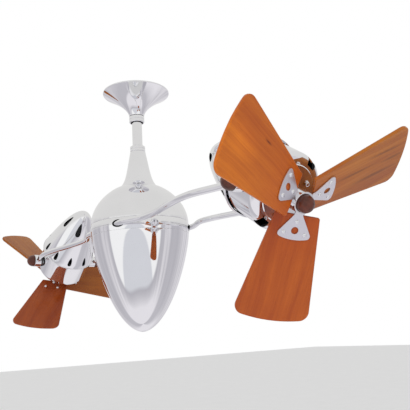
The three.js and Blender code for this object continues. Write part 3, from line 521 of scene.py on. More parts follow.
# ---------------------------------------------------------------- node helpers
class Nodes:
    """Short ways to add nodes to a tree. A value is a number or colour, or a socket to link."""

    def __init__(self, tree):
        self.tree = tree

    def fill(self, sockets, values):
        for key, value in values.items():
            if isinstance(value, bpy.types.NodeSocket):
                self.tree.links.new(value, sockets[key])
            else:
                sockets[key].default_value = value

    def add(self, kind, values=None, **options):
        """The outputs of a new node."""
        made = self.tree.nodes.new("ShaderNode" + kind)
        for key, value in options.items():
            setattr(made, key, value)
        self.fill(made.inputs, values or {})
        return made.outputs

    def group(self, group, values):
        return self.add("Group", values, node_tree=group)

    def mix(self, share, first, second, how="MIX"):
        """A colour mixed from two, by a share."""
        values = {0: share, 6: first, 7: second}
        return self.add("Mix", values, data_type="RGBA", blend_type=how)[2]

    def maths(self, operation, first, second):
        return self.add("Math", {0: first, 1: second}, operation=operation)[0]

    def times(self, first, second):
        return self.maths("MULTIPLY", first, second)

    def plus(self, first, second):
        return self.maths("ADD", first, second)

    def vector(self, operation, first, second=(0, 0, 0)):
        return self.add("VectorMath", {0: first, 1: second}, operation=operation)

    def ranged(self, value, low, high, new_low=0.0, new_high=1.0):
        """A value moved from one range to another, and held inside it."""
        values = {"Value": value, "From Min": low, "From Max": high}
        values |= {"To Min": new_low, "To Max": new_high}
        return self.add("MapRange", values, clamp=True)["Result"]

    def noise(self, vector, scale, detail=4.0, roughness=0.55):
        values = {"Vector": vector, "Scale": scale, "Detail": detail, "Roughness": roughness}
        return self.add("TexNoise", values)["Fac"]

    def streaks(self, vector, scale, detail, roughness=0.55):
        """Noise with a scale for each axis."""
        place = self.add("Mapping", {"Vector": vector, "Scale": scale})["Vector"]
        return self.noise(place, 1.0, detail, roughness)

    def grey(self, tone):
        return self.add("CombineColor", {index: tone for index in range(3)})[0]

    def bump(self, height, distance):
        return self.add("Bump", {"Height": height, "Distance": distance, "Strength": 1.0})[0]


SOCKET_KINDS = {
    "number": "NodeSocketFloat", "vector": "NodeSocketVector", "colour": "NodeSocketColor"
}


def node_group(name, inputs, outputs):
    """Turns a function that fills a node group into one that gives the group, made once."""

    def wrapped(fill):
        def get():
            tree = bpy.data.node_groups.get(name)
            if tree:
                return tree
            tree = bpy.data.node_groups.new(name, "ShaderNodeTree")
            for way, sockets in (("INPUT", inputs), ("OUTPUT", outputs)):
                for label, kind in sockets.items():
                    tree.interface.new_socket(
                        name=label, in_out=way, socket_type=SOCKET_KINDS[kind]
                    )
            given = tree.nodes.new("NodeGroupInput").outputs
            output = tree.nodes.new("NodeGroupOutput").inputs
            nodes = Nodes(tree)
            results = fill(nodes, *(given[label] for label in inputs))
            nodes.fill(output, dict(zip(outputs, results)))
            return tree

        return get

    return wrapped


@node_group(
    "Wood grain",
    {"Vector": "vector", "Pale": "colour", "Deep": "colour", "Coarseness": "number"},
    {"Color": "colour", "Roughness": "number", "Height": "number"},
)
def wood_grain(nodes, place, pale, deep, coarseness):
    """Straight grained timber: the grain runs along X, in metres."""
    sized = nodes.add("VectorMath", {0: place, "Scale": coarseness}, operation="SCALE")[0]
    drift = nodes.streaks(sized, (3, 9, 9), 2.0)
    swirl = nodes.add("CombineXYZ", {"Y": nodes.times(drift, 0.04)})[0]
    bent = nodes.vector("ADD", sized, swirl)[0]
    figure = nodes.streaks(bent, (2.2, 55, 55), 3.0)
    fibre = nodes.streaks(bent, (9, 420, 420), 5.0, 0.65)
    pores = nodes.streaks(bent, (60, 2400, 2400), 2.0)
    patch = nodes.streaks(sized, (7, 12, 12), 2.0)
    depth = nodes.plus(
        nodes.times(nodes.ranged(figure, 0.38, 0.62), 0.45),
        nodes.times(nodes.ranged(fibre, 0.3, 0.7), 0.30),
    )
    depth = nodes.plus(depth, nodes.times(nodes.ranged(patch, 0.35, 0.65), 0.35))
    pits = nodes.ranged(pores, 0.60, 0.74, 0.0, 0.45)
    return (
        nodes.mix(pits, nodes.mix(depth, pale, deep), deep, "MULTIPLY"),
        nodes.ranged(fibre, 0.3, 0.7, 0.30, 0.46),
        nodes.maths("SUBTRACT", nodes.times(fibre, 0.5), pits),
    )


@node_group(
    "Handling marks",
    {"Vector": "vector", "Clean": "number", "Marked": "number"},
    {"Roughness": "number", "Tone": "number", "Height": "number"},
)
def handling_marks(nodes, place, clean, marked):
    """Faint cloudy wiping marks and hairline scratches on a polished surface."""
    cloud = nodes.noise(place, 22.0, 5.0)
    hair = nodes.streaks(place, (60, 60, 900), 3.0)
    share = nodes.times(nodes.ranged(cloud, 0.42, 0.66), nodes.ranged(hair, 0.35, 0.7))
    rough = nodes.ranged(share, 0.0, 1.0, clean, marked)
    return rough, nodes.ranged(cloud, 0.3, 0.7, 0.97, 1.0), hair


@node_group(
    "Soft spot", {"Vector": "vector", "Place": "vector", "Size": "vector"}, {"Share": "number"}
)
def soft_spot(nodes, place, middle, size):
    """An ellipse round a point, full in its middle and fading to nothing at its edge."""
    scaled = nodes.vector("DIVIDE", nodes.vector("SUBTRACT", place, middle)[0], size)[0]
    flat = nodes.vector("MULTIPLY", scaled, (1, 1, 0))[0]
    return (nodes.ranged(nodes.vector("LENGTH", flat)["Value"], 0.25, 1.0, 1.0, 0.0),)


@node_group("Settled dust", {"Vector": "vector", "Amount": "number"}, {"Share": "number"})
def settled_dust(nodes, place, amount):
    """A share of dust that lies on surfaces facing up."""
    up = nodes.add("SeparateXYZ", {0: nodes.add("NewGeometry")["Normal"]})["Z"]
    speck = nodes.ranged(nodes.noise(place, 180.0), 0.45, 0.7)
    return (nodes.times(nodes.times(nodes.ranged(up, 0.3, 1.0), speck), amount),)


WALL_COLOURS = ("Ceiling", "Front", "Middle", "Back", "Band", "Ground")


@node_group(
    "Studio walls",
    {"Vector": "vector"} | dict.fromkeys(WALL_COLOURS, "colour"),
    {"Color": "colour"},
)
def studio_walls(nodes, ray, ceiling, front, middle, back, band, ground):
    """The room that mirrors see: a pale ceiling, a white front wall and streaked sides."""

    def along(x, y):
        return nodes.vector("DOT_PRODUCT", ray, (x, y, 0))["Value"]

    azimuth = nodes.maths("ARCTAN2", along(0.661, 0.750), along(0.750, -0.661))
    aside = nodes.maths("ABSOLUTE", azimuth, 0)
    up = nodes.add("SeparateXYZ", {0: ray})["Z"]
    down = nodes.maths("MAXIMUM", nodes.times(up, -1), 0)

    # Upright streaks, with a darker stretch on each side.
    place = nodes.add("CombineXYZ", {"X": azimuth, "Z": up})[0]
    streaks = nodes.ranged(nodes.streaks(place, (7, 1, 0.5), 2.0), 0.4, 0.62)
    sides = nodes.mix(nodes.times(streaks, 0.7), back, band)
    below = nodes.mix(nodes.ranged(down, 0.5, 0.75), sides, ground)
    near, far = nodes.ranged(aside, 1.45, 1.6), nodes.ranged(aside, 2.0, 2.5, 1.0, 0.0)
    around_it = nodes.mix(nodes.times(nodes.times(near, far), 0.8), below, band)

    # A white wall with round lower corners, and a pale cone that widens downwards on it.
    across = nodes.maths("POWER", nodes.maths("DIVIDE", aside, 1.08), 4)
    out = nodes.plus(across, nodes.maths("POWER", nodes.maths("DIVIDE", down, 0.66), 3))
    outside = nodes.mix(nodes.ranged(out, 1.0, 2.1, 1.0, 0.0), around_it, band)
    cone = nodes.plus(aside, nodes.times(up, 1.134))
    wall = nodes.mix(nodes.ranged(cone, 0.19, 0.26, 1.0, 0.0), front, middle)
    lower = nodes.mix(nodes.ranged(out, 0.88, 1.08), wall, outside)
    return (nodes.mix(nodes.ranged(up, 0.08, 0.3), lower, ceiling),)


# ---------------------------------------------------------------- finishes
def settings(name):
    return getattr(bpy.context.scene, name)


def solid_colour(value):
    return (*value, 1.0)


def blank_material(name):
    """A new material, its nodes, its shader's sockets and its object coordinates."""
    material = bpy.data.materials.new(name)
    material.use_nodes = True
    nodes = Nodes(material.node_tree)
    shader = material.node_tree.nodes["Principled BSDF"].inputs
    return material, nodes, shader, nodes.add("TexCoord")["Object"]


def metal(name, tint, clean, marked, bump=0.0, dust=0.0):
    """A metal finish whose roughness goes from clean to marked over the surface."""
    found = bpy.data.materials.get(name)
    if found:
        return found
    material, nodes, shader, where = blank_material(name)
    marks = nodes.group(handling_marks(), {"Vector": where, "Clean": clean, "Marked": marked})
    rough = marks["Roughness"]
    if dust:
        share = nodes.group(settled_dust(), {"Vector": where, "Amount": dust})["Share"]
        rough = nodes.plus(rough, share)
    shade = nodes.mix(1.0, solid_colour(tint), nodes.grey(marks["Tone"]), "MULTIPLY")
    nodes.fill(shader, {"Base Color": shade, "Roughness": rough, "Metallic": 1.0})
    if bump:
        nodes.fill(shader, {"Normal": nodes.bump(marks["Height"], bump)})
    return material


def dull(name, tint, roughness, grain, bump, metallic=0.0):
    """A matt finish: moulded nylon, a casting or varnished iron."""
    found = bpy.data.materials.get(name)
    if found:
        return found
    material, nodes, shader, where = blank_material(name)
    skin = nodes.noise(where, grain, 6.0)
    share = nodes.ranged(skin, 0.3, 0.7, 0.0, 0.5)
    rough = nodes.ranged(skin, 0.3, 0.7, roughness * 0.85, min(roughness * 1.15, 1.0))
    values = {"Base Color": nodes.mix(share, solid_colour(tint), (0, 0, 0, 1))}
    values |= {"Roughness": rough, "Metallic": metallic, "Normal": nodes.bump(skin, bump)}
    nodes.fill(shader, values)
    return material


def timber(name, pale, deep, coarseness, place, bump, coat, spots=()):
    """Lacquered wood whose grain runs along the X of a piece's own frame."""
    material, nodes, shader, where = blank_material(name)
    back = place.inverted()
    values = {"Vector": where, "Location": back.to_translation(), "Rotation": back.to_euler()}
    local = nodes.add("Mapping", values)["Vector"]
    values = {"Vector": local, "Pale": solid_colour(pale), "Deep": solid_colour(deep)}
    grain = nodes.group(wood_grain(), values | {"Coarseness": coarseness})
    shade = grain["Color"]
    for spot, size, tone in spots:
        values = {"Vector": local, "Place": spot, "Size": size}
        share = nodes.group(soft_spot(), values)["Share"]
        shade = nodes.mix(share, shade, solid_colour(tone), "MULTIPLY")
    values = {"Base Color": shade, "Roughness": grain["Roughness"]}
    values |= {"Normal": nodes.bump(grain["Height"], bump), "Specular IOR Level": 0.3}
    nodes.fill(shader, values | {"Coat Weight": coat, "Coat Roughness": 0.12})
    return material


def ball_wood(name, place):
    woods = settings("fan_finishes")
    place = place @ rotation(QUARTER, "Y")
    name = f"Turned ball wood {name}"
    return timber(name, woods.knob_pale, woods.knob_deep, 1.6, place, 0.00008, 0.3)


def chrome():
    return metal("Polished chrome", settings("fan_finishes").chrome, 0.035, 0.085)


def satin_chrome():
    return metal("Satin chrome", settings("fan_finishes").bracket, 0.29, 0.33, 0.000003)


def black_nylon():
    return dull("Black nylon", settings("fan_finishes").nylon, 0.5, 900.0, 0.00005)


# Black and rough: painted shade, put inside the shells and cans, on the shell liners and on the hub necks.
def painted_shade_lining():
    return dull("Dark lining", settings("fan_finishes").nylon, 0.8, 400.0, 0.00005)


# ---------------------------------------------------------------- frames and places
def joint(name):
    return next(j for j in frame["joints"] if j["name"] == name)


def extent(node):
    """A turned node's top, bottom and radius."""
    return top(node), bottom(node), half_width(node)


def arm_level():
    return (top("band_upper") + bottom("band_lower")) / 2


def washer_face():
    """How far from the middle plane the washers' outer faces are."""
    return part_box("right_washer_rear")[1].y


def sleeve_inner():
    return washer_face() + GAP


def head_frame(head):
    """The place of a head's own frame in the row frame, from its two joints."""
    spin = joint(f"{head}_fan_spin")
    forward, sideways = Vector(spin["axis"]).normalized(), Vector((0, 1, 0))
    turn = Matrix((sideways.cross(forward), sideways, forward)).transposed().to_4x4()
    return Matrix.Translation(spin["pos_m"]) @ turn


def blade_frame(head, index):
    """The place of one blade's frame, whose X is its length and Z its face."""
    blades = settings("fan_blades")
    spin = getattr(blades, f"{head}_spin") + FULL_TURN * index / BLADES
    place = head_frame(head) @ rotation(spin, "Z") @ shift(z=blades.plane)
    return place @ rotation(-blades.cone, "Y") @ rotation(blades.pitch, "X")


def along_tilt(head, side):
    """A frame on the tilt axis whose Z points outwards on one side of the head."""
    return head_frame(head) @ rotation(-side * QUARTER, "X")


# ---------------------------------------------------------------- operators
class FAN_OT_canopy(bpy.types.Operator):
    """Make the trumpet canopy, its collar, the downrod and the rod's lower collar"""

    bl_idname = "fan.canopy"
    bl_label = "Canopy and rod"

    def execute(self, context):
        sizes = settings("fan_body")
        high, low, rim = extent("canopy")
        run = high - low - sizes.lip

        def flare(share):
            wide = (rim - sizes.throat) * (1 - share) ** sizes.canopy_flare
            return (sizes.throat + wide, high - sizes.lip - share * run)

        line = [(rim, high)] + curve(40, flare)
        cover("canopy_trumpet", line, "mount", "canopy", COVER_EDGE, 2)
        rod_high, rod_low, radius = extent("downrod")
        self.collar("canopy_collar", sizes.throat - 0.003, radius, True)
        self.collar("rod_collar", radius + GAP, radius, False)
        rod = eased(cylinder(radius, rod_low, rod_high, MIDDLE_STEPS), SMALL_EDGE)
        finished("downrod_tube", rod, chrome(), "mount", "downrod")
        return {"FINISHED"}

    def collar(self, node, inner, rod, screwed):
        """A turned ring with a rolled rim and one fine groove."""
        sizes = settings("fan_body")
        high, low, outer = extent(node)
        if screwed:
            outer = sizes.throat
        middle, groove = (high + low) / 2, sizes.collar_groove
        outline = [
            (inner, low), (outer - 2 * groove, low), (outer, low + 2 * groove),
            (outer, middle - groove), (outer - groove, middle), (outer, middle + groove),
            (outer, high - 2 * groove), (outer - 2 * groove, high), (inner, high),
        ]
        ring = eased(turned(outline, MIDDLE_STEPS), groove / 2, 2)
        if screwed:
            head = cylinder(SET_SCREW, rod, outer + 0.0002)
            ring = joined(ring, moved(head, rotation(-QUARTER, "X"), shift(z=middle)))
        finished(f"{node}_ring", ring, chrome(), "mount", node)


class FAN_OT_body(bpy.types.Operator):
    """Make the neck, the dome, both halves of the band and the bowl"""

    bl_idname = "fan.body"
    bl_label = "Egg shaped body"

    def execute(self, context):
        self.neck()
        self.dome()
        self.band("band_upper", top("band_upper"), bottom("band_upper"))
        self.band("band_lower", bottom("band_lower"), top("band_lower"))
        self.bowl()
        return {"FINISHED"}

    def neck(self):
        sizes = settings("fan_body")
        high, low, foot = extent("neck_cover")
        flare = foot - sizes.throat - sizes.neck_taper

        def line(share):
            radius = sizes.throat + sizes.neck_taper * share + flare * share**sizes.neck_power
            return (radius, high - share * (high - low))

        outline = [(half_width("downrod") + 2 * GAP, high)] + curve(48, line)
        cover("neck_cone", outline, "mount", "neck_cover", FINE_EDGE, 3, 50)

    def dome(self):
        high, low, rim = extent("dome")
        foot = half_width("neck_cover")

        def line(share):
            swell = (1 - (1 - share) ** 2) ** settings("fan_body").dome_power
            return (foot + (rim - foot) * swell, high - (high - low) * share)

        cover("dome_cover", curve(64, line), "mount", "dome", COVER_EDGE, 2, 60)

    def bowl(self):
        sizes = settings("fan_body")
        high, low, rim = extent("bowl")

        def line(share):
            depth = 1 - (1 - share) ** 2
            radius = rim * (1 - depth**sizes.bowl_fullness) ** sizes.bowl_roundness
            return (0 if share == 1 else radius, high - depth * (high - low))

        cover("bowl_cover", curve(96, line), "carrier", "bowl", COVER_EDGE, 2, 60)

    def band(self, node, edge, split):
        """Half of the band, with half of each slot in it."""
        arms, crown = settings("fan_arms"), settings("fan_body").band_crown
        seam = half_width("dome")
        inner, reach = seam - BAND_DEPTH, 2 * (seam + crown)

        def line(share):
            return (seam + crown * math.sin(share * QUARTER), edge + (split - edge) * share)

        ring = turned([(inner, edge)] + curve(8, line) + [(inner, split)])
        radius = arms.radius + 2 * GAP + arms.grommet_wall
        places = (shift(0, side * arms.slot, arm_level()) for side in SIDES.values())
        slots = (
            moved(cylinder(radius, -reach, reach), rotation(QUARTER, "Y"), place)
            for place in places
        )
        finished(f"{node}_ring", carved(ring, joined(*slots)), chrome(), "carrier", node, 28)


class FAN_OT_arms(bpy.types.Operator):
    """Make both bent rods, the sleeves on their ends and the grommets in the band"""

    bl_idname = "fan.arms"
    bl_label = "Bent rods"

    def execute(self, context):
        for name, side in SIDES.items():
            rod = joined(self.rod(side), *(self.sleeve(head, side) for head in HEADS))
            finished(f"bent_rod_{name}", rod, chrome(), "carrier", f"arm_{name}")
            for head, end in HEADS.items():
                self.grommet(f"grommet_{head}_{name}", end, side)
        return {"FINISHED"}

    def place(self, x):
        """The side and height of a rod at a distance along X."""
        sizes = settings("fan_arms")
        level, pivot = arm_level(), Vector(joint("right_head_tilt")["pos_m"])
        edge = sizes.slot - sizes.radius - GAP - sizes.grommet_wall
        start = math.sqrt(half_width("band_upper") ** 2 - edge**2)
        end_side = sleeve_inner() + sizes.sleeve_length / 2

        def ease(low, high):
            share = min(max((abs(x) - low) / (high - low), 0), 1)
            return share * share * (3 - 2 * share)

        side = (
            sizes.slot
            + (sizes.waist - sizes.slot) * ease(start, sizes.waist_at)
            + (sizes.flare - sizes.waist) * ease(sizes.waist_at, sizes.flare_at)
            + (end_side - sizes.flare) * ease(sizes.flare_at, pivot.x)
        )
        return side, level + (pivot.z - level) * ease(start, pivot.x)

    def rod(self, side):
        """A round rod drawn by extruding one ring along the rod's line."""
        reach = joint("right_head_tilt")["pos_m"][0]
        centres = []
        for x in curve(ROD_STEPS, lambda share: reach * (2 * share - 1)):
            y, z = self.place(x)
            centres.append(Vector((x, side * y, z)))
        frames = []
        for index, centre in enumerate(centres):
            before, after = centres[max(index - 1, 0)], centres[min(index + 1, ROD_STEPS)]
            turn = (after - before).to_track_quat("Z", "Y").to_matrix().to_4x4()
            frames.append(Matrix.Translation(centre) @ turn)
        radius = settings("fan_arms").radius
        bm = bmesh.new()
        ring = bmesh.ops.create_circle(
            bm, cap_ends=False, segments=SMALL_STEPS, radius=radius, matrix=frames[0]
        )["verts"]
        edges = list(dict.fromkeys(e for v in ring for e in v.link_edges))
        bmesh.ops.contextual_create(bm, geom=edges)
        for before, after in zip(frames, frames[1:]):
            grown = bmesh.ops.extrude_edge_only(bm, edges=edges)["geom"]
            edges = [g for g in grown if isinstance(g, bmesh.types.BMEdge)]
            bmesh.ops.transform(bm, matrix=after @ before.inverted(), verts=verts_of(grown))
        bmesh.ops.contextual_create(bm, geom=edges)
        bmesh.ops.recalc_face_normals(bm, faces=bm.faces)
        return bm

    def sleeve(self, head, side):
        sizes, inner = settings("fan_arms"), sleeve_inner()
        ring = tube(STUD_HOLE, sizes.sleeve, inner, inner + sizes.sleeve_length)
        return moved(eased(ring, TURNED_EDGE), along_tilt(head, side))

    def grommet(self, node, end, side):
        """A nylon sleeve round the rod, cut to the band's wall."""
        sizes = settings("fan_arms")
        level, seam = arm_level(), half_width("dome")
        outer = sizes.radius + GAP + sizes.grommet_wall
        sleeve = tube(sizes.radius + 0.0002, outer, 0, seam, SMALL_STEPS)
        sleeve = moved(sleeve, rotation(end * QUARTER, "Y"), shift(0, side * sizes.slot, level))
        wall = tube(seam - BAND_DEPTH, seam + GAP, level - 0.02, level + 0.02, LARGE_STEPS)
        ring = carved(sleeve, wall, "INTERSECT")
        finished(f"{node}_ring", ring, black_nylon(), "carrier", node)


class FAN_OT_shells(bpy.types.Operator):
    """Make the two bullet shells with their teardrop vents"""

    bl_idname = "fan.shells"
    bl_label = "Bullet shells"

    def execute(self, context):
        for head in HEADS:
            body, place = f"{head}_head", head_frame(head)
            shell = carved(self.bullet(), joined(self.vents("long"), self.vents("short")))
            # The shell's inside past the rim is painted shade.
            painted_shade_inside(shell, -settings("fan_heads").shell_rim - PAINTED_SHADE_DEPTH)
            shell, node = moved(shell, place), f"{head}_shell"
            finished(f"{head}_bullet", shell, chrome(), body, node, inside=painted_shade_lining())
            # A dark sleeve of painted shade behind the shell's vents.
            liner = moved(self.liner(), place)
            finished(f"{head}_bullet_liner", liner, painted_shade_lining(), body, None)
        return {"FINISHED"}

    def vents(self, kind):
        """The cutters of all the long vents, or of all the short ones."""
        number, long, wide, to_rim, turn = (
            getattr(settings("fan_heads"), f"{kind}_vent{part}")
            for part in ("s", "", "_width", "_rim", "_turn")
        )
        return around(number, lambda: self.teardrop(long, wide, to_rim), turn)

    def outer(self, share):
        """A point of the shell's profile, from the tip at 0 to the rim at 1."""
        sizes, back = settings("fan_heads"), share**2
        tip = -sizes.shell_rim - sizes.shell_length
        return (sizes.shell * back**sizes.shell_power, tip + sizes.shell_length * back)

    def liner(self):
        """A dark sleeve of painted shade a little inside the shell, which closes the view through its vents."""
        wall = settings("fan_body").wall
        gap = 3 * wall
        line = [(x - gap, y) for x, y in curve(40, self.outer) if x > 2 * gap]
        line = [(0, line[0][1])] + line[:-3]
        return turned(with_wall(line[::-1], wall))

    def bullet(self):
        """The shell without its vents, with a rolled bead round its rim."""
        sizes, wall = settings("fan_heads"), settings("fan_body").wall
        bead, rim = sizes.rim_bead, -sizes.shell_rim
        line = with_wall(curve(56, self.outer)[::-1], wall)
        centre = Vector((sizes.shell + bead * 0.4, rim + bead))

        def roll(share):
            turn = math.pi * (1.25 * share - 0.75)
            return tuple(centre + Vector((math.cos(turn), math.sin(turn))) * bead)

        below = [point for point in line if point[1] < rim - bead]
        return turned([(sizes.shell - wall, rim + bead)] + curve(10, roll)[::-1] + below)

    def teardrop(self, long, wide, to_rim):
        """A radial cutter, round towards the rim and pointed towards the shell's tip."""
        sizes, radius = settings("fan_heads"), wide / 2
        bm = bmesh.new()
        bmesh.ops.create_circle(bm, cap_ends=True, segments=40, radius=1)
        for vert in bm.verts:
            x, y = vert.co.x, vert.co.y
            if y >= 0:
                vert.co = Vector((0, x * radius, y * radius))
            else:
                side = radius * math.copysign(abs(x) ** 1.5, x)
                vert.co = Vector((0, side, y * (long - radius)))
        middle = -sizes.shell_rim - to_rim - radius
        bmesh.ops.translate(bm, vec=(0.006, 0, middle), verts=bm.verts)
        grown = bmesh.ops.extrude_face_region(bm, geom=list(bm.faces))["geom"]
        bmesh.ops.translate(bm, vec=(sizes.shell, 0, 0), verts=verts_of(grown))
        bmesh.ops.recalc_face_normals(bm, faces=bm.faces)
        return bm


class FAN_OT_cans(bpy.types.Operator):
    """Make the motor cans with their vents, cover discs and screws"""

    bl_idname = "fan.cans"
    bl_label = "Motor cans"

    def execute(self, context):
        for head in HEADS:
            can, node = moved(self.can(), head_frame(head)), f"{head}_motor_can"
            finished(f"{head}_can", can, chrome(), f"{head}_head", node, inside=painted_shade_lining())
        return {"FINISHED"}

    def can(self):
        sizes = settings("fan_heads")
        front, disc, inside = sizes.can_front, sizes.cover_disc, sizes.can_front - CAN_WALL

        def shoulder(share):
            turn = share * QUARTER
            radius = sizes.can - sizes.shoulder_width * (1 - math.cos(turn))
            return (radius, front - sizes.shoulder * (1 - math.sin(turn)))

        outline = [(sizes.can, -sizes.can_back)] + curve(10, shoulder)
        outline += [
            (disc + 0.0015, front), (disc, front + DISC_RISE), (disc * 0.45, front + DISC_RISE),
            (disc * 0.42, front), (CAN_BORE, front), (CAN_BORE, inside),
            (sizes.can - sizes.shoulder_width, inside),
            (sizes.can - CAN_WALL, front - sizes.shoulder),
            (sizes.can - CAN_WALL, -sizes.can_back),
        ]
        can = eased(turned(outline), COVER_EDGE, 2, 40)
        vents = around(sizes.vents, self.vent, sizes.vent_turn)
        # The can's inside is painted shade.
        can = painted_shade_inside(carved(can, vents), front - 0.001)
        bosses = [
            moved(cylinder(BOSS, sizes.can - 0.004, sizes.can + GAP), rotation(turn, "X"))
            for turn in (QUARTER, -QUARTER)
        ]
        return joined(can, around(6, self.screw), *bosses)

    def vent(self):
        sizes = settings("fan_heads")
        bm = bmesh.new()
        bmesh.ops.create_cube(bm, size=1)
        box = (2 * sizes.shoulder_width, sizes.vent_width, sizes.shoulder)
        bmesh.ops.scale(bm, vec=box, verts=bm.verts)
        upright = [e for e in bm.edges if abs(e.verts[0].co.x - e.verts[1].co.x) > 1e-4]
        bevelled(bm, upright, 0.003, 5)
        return moved(bm, shift(sizes.can, 0, sizes.can_front - sizes.shoulder / 2))

    def screw(self):
        low = settings("fan_heads").can_front + 0.0005
        return moved(domed(CAN_SCREW, low, 0.0024, low), shift(CAN_SCREW_CIRCLE))


class FAN_OT_knobs(bpy.types.Operator):
    """Make the clamping knobs and the nylon washers on the tilt axis"""

    bl_idname = "fan.knobs"
    bl_label = "Knobs and washers"

    def execute(self, context):
        sizes = settings("fan_heads")
        middle = sleeve_inner() + settings("fan_arms").sleeve_length + KNOB_OUT
        flat, stud = GAP - KNOB_OUT, sizes.can - 0.004
        start = math.asin(flat / sizes.knob)

        def ball(share):
            turn = start + share * (QUARTER - start)
            radius = 0 if share == 1 else sizes.knob * math.cos(turn)
            return (radius, middle + sizes.knob * math.sin(turn))

        outline = [(0, stud), (STUD, stud), (STUD, middle + flat)] + curve(28, ball)
        for head in HEADS:
            for name, side in SIDES.items():
                place, node = along_tilt(head, side), f"{head}_washer_{name}"
                ring = tube(STUD_HOLE, sizes.washer, sizes.can + 2 * GAP, washer_face())
                ring = moved(eased(ring, SMALL_EDGE), place)
                finished(f"{node}_ring", ring, black_nylon(), f"{head}_head", node)
                knob = eased(turned(outline, MIDDLE_STEPS), FINE_EDGE, 2, 45)
                node = f"{head}_knob_{name}"
                finished(f"{node}_ball", moved(knob, place), ball_wood(node, place), node, node)
        return {"FINISHED"}


class FAN_OT_hubs(bpy.types.Operator):
    """Make the fan hubs and their ball finials"""

    bl_idname = "fan.hubs"
    bl_label = "Hubs and finials"

    def execute(self, context):
        sizes = settings("fan_heads")
        front, back = sizes.hub_front, sizes.hub_front - sizes.hub_length
        socket = math.sqrt(sizes.finial**2 - (sizes.finial_out - front) ** 2)
        outline = [
            (STUD_HOLE, back), (sizes.hub, back), (sizes.hub, front), (socket + 0.0004, front),
            (socket - 0.002, front - 0.003), (STUD_HOLE, front - 0.008),
        ]

        def ball(share):
            turn = share * math.pi
            radius = 0 if share in (0, 1) else sizes.finial * math.sin(turn)
            return (radius, sizes.finial_out - sizes.finial * math.cos(turn))

        for head in HEADS:
            place, body = head_frame(head), f"{head}_fan"
            # The neck behind the hub is black with painted shade, for the gap between the hub and the can.
            neck = tube(STUD_HOLE, sizes.hub_neck, back - 0.006, back - 0.0001)
            neck = moved(eased(neck, FINE_EDGE), place)
            finished(f"{head}_hub_neck", neck, painted_shade_lining(), body, None)
            hub = moved(eased(turned(outline, MIDDLE_STEPS), TURNED_EDGE), place)
            finished(f"{head}_hub_body", hub, chrome(), body, f"{head}_fan_hub")
            finial = moved(turned(curve(32, ball), MIDDLE_STEPS), place)
            wood = ball_wood(f"{head} finial", place)
            finished(f"{head}_finial_ball", finial, wood, body, f"{head}_finial")
        return {"FINISHED"}


def symmetric(side, tip):
    """The corners of a plate from those of one side, from the root on, and its tip."""
    return [(x, -y, rounding) for x, y, rounding in side] + [tip] + side[::-1]


class FAN_OT_blades(bpy.types.Operator):
    """Make the six wooden blades"""

    bl_idname = "fan.blades"
    bl_label = "Blades"

    def execute(self, context):
        sizes, blade_tones_and_shade = settings("fan_blades"), settings("fan_tones")
        woods = [getattr(settings("fan_finishes"), f"wood_{name}") for name in ("pale", "deep")]
        sunk = shift(z=-sizes.plate / 2 - GAP - sizes.thickness / 2)
        bulge, corner = sizes.reach + 0.75 * sizes.crown, sizes.corner
        side = [
            (sizes.root, sizes.root_half, corner / 6),
            (sizes.reach, sizes.tip_half, corner),
            (bulge, sizes.tip_half / 2, corner),
        ]
        corners = symmetric(side, (sizes.reach + sizes.crown, 0, corner))
        for head in HEADS:
            for index in range(BLADES):
                node, place = f"{head}_blade_{index + 1}", blade_frame(head, index)
                board = eased(plate(corners, sizes.thickness), sizes.edge, 4)
                cut = Vector([step * index for step in CUT_STEP])
                # Each blade's tone mixes a real difference in the wood with painted light and shade.
                tone = getattr(blade_tones_and_shade, node)
                pale, deep = ([a * b for a, b in zip(wood, tone)] for wood in woods)
                wood = timber(
                    f"Blade wood {node}", pale, deep, 1.0, place @ Matrix.Translation(cut),
                    0.00004, 0.1, self.spots(node, cut),
                )
                finished(f"{node}_board", moved(board, place @ sunk), wood, f"{head}_fan", node)
        return {"FINISHED"}

    def spots(self, node, cut):
        """The place, size and tone of each spot that darkens or brightens a blade's wood: painted shade round the
        root, streaks, a knot and a painted highlight.
        """
        sizes = settings("fan_blades")
        # Painted shade round the root of every blade.
        found = [((0, 0), ROOT_SHADE_SPOT, sizes.root_painted_shade)]
        if node == "right_blade_2":
            found += [(place, size, sizes.streak_tone) for place, size in STREAKS]
        if node == "right_blade_3":
            found.append(((sizes.knot_at, sizes.knot_side), KNOT_SPOT, sizes.knot_tone))
            # A painted highlight on the upper blade.
            found.append(((sizes.painted_highlight_at, sizes.painted_highlight_side), PAINTED_HIGHLIGHT_SPOT, sizes.painted_highlight_tone))
        return [(Vector((*place, 0)) - cut, (*size, 1), tone) for place, size, tone in found]


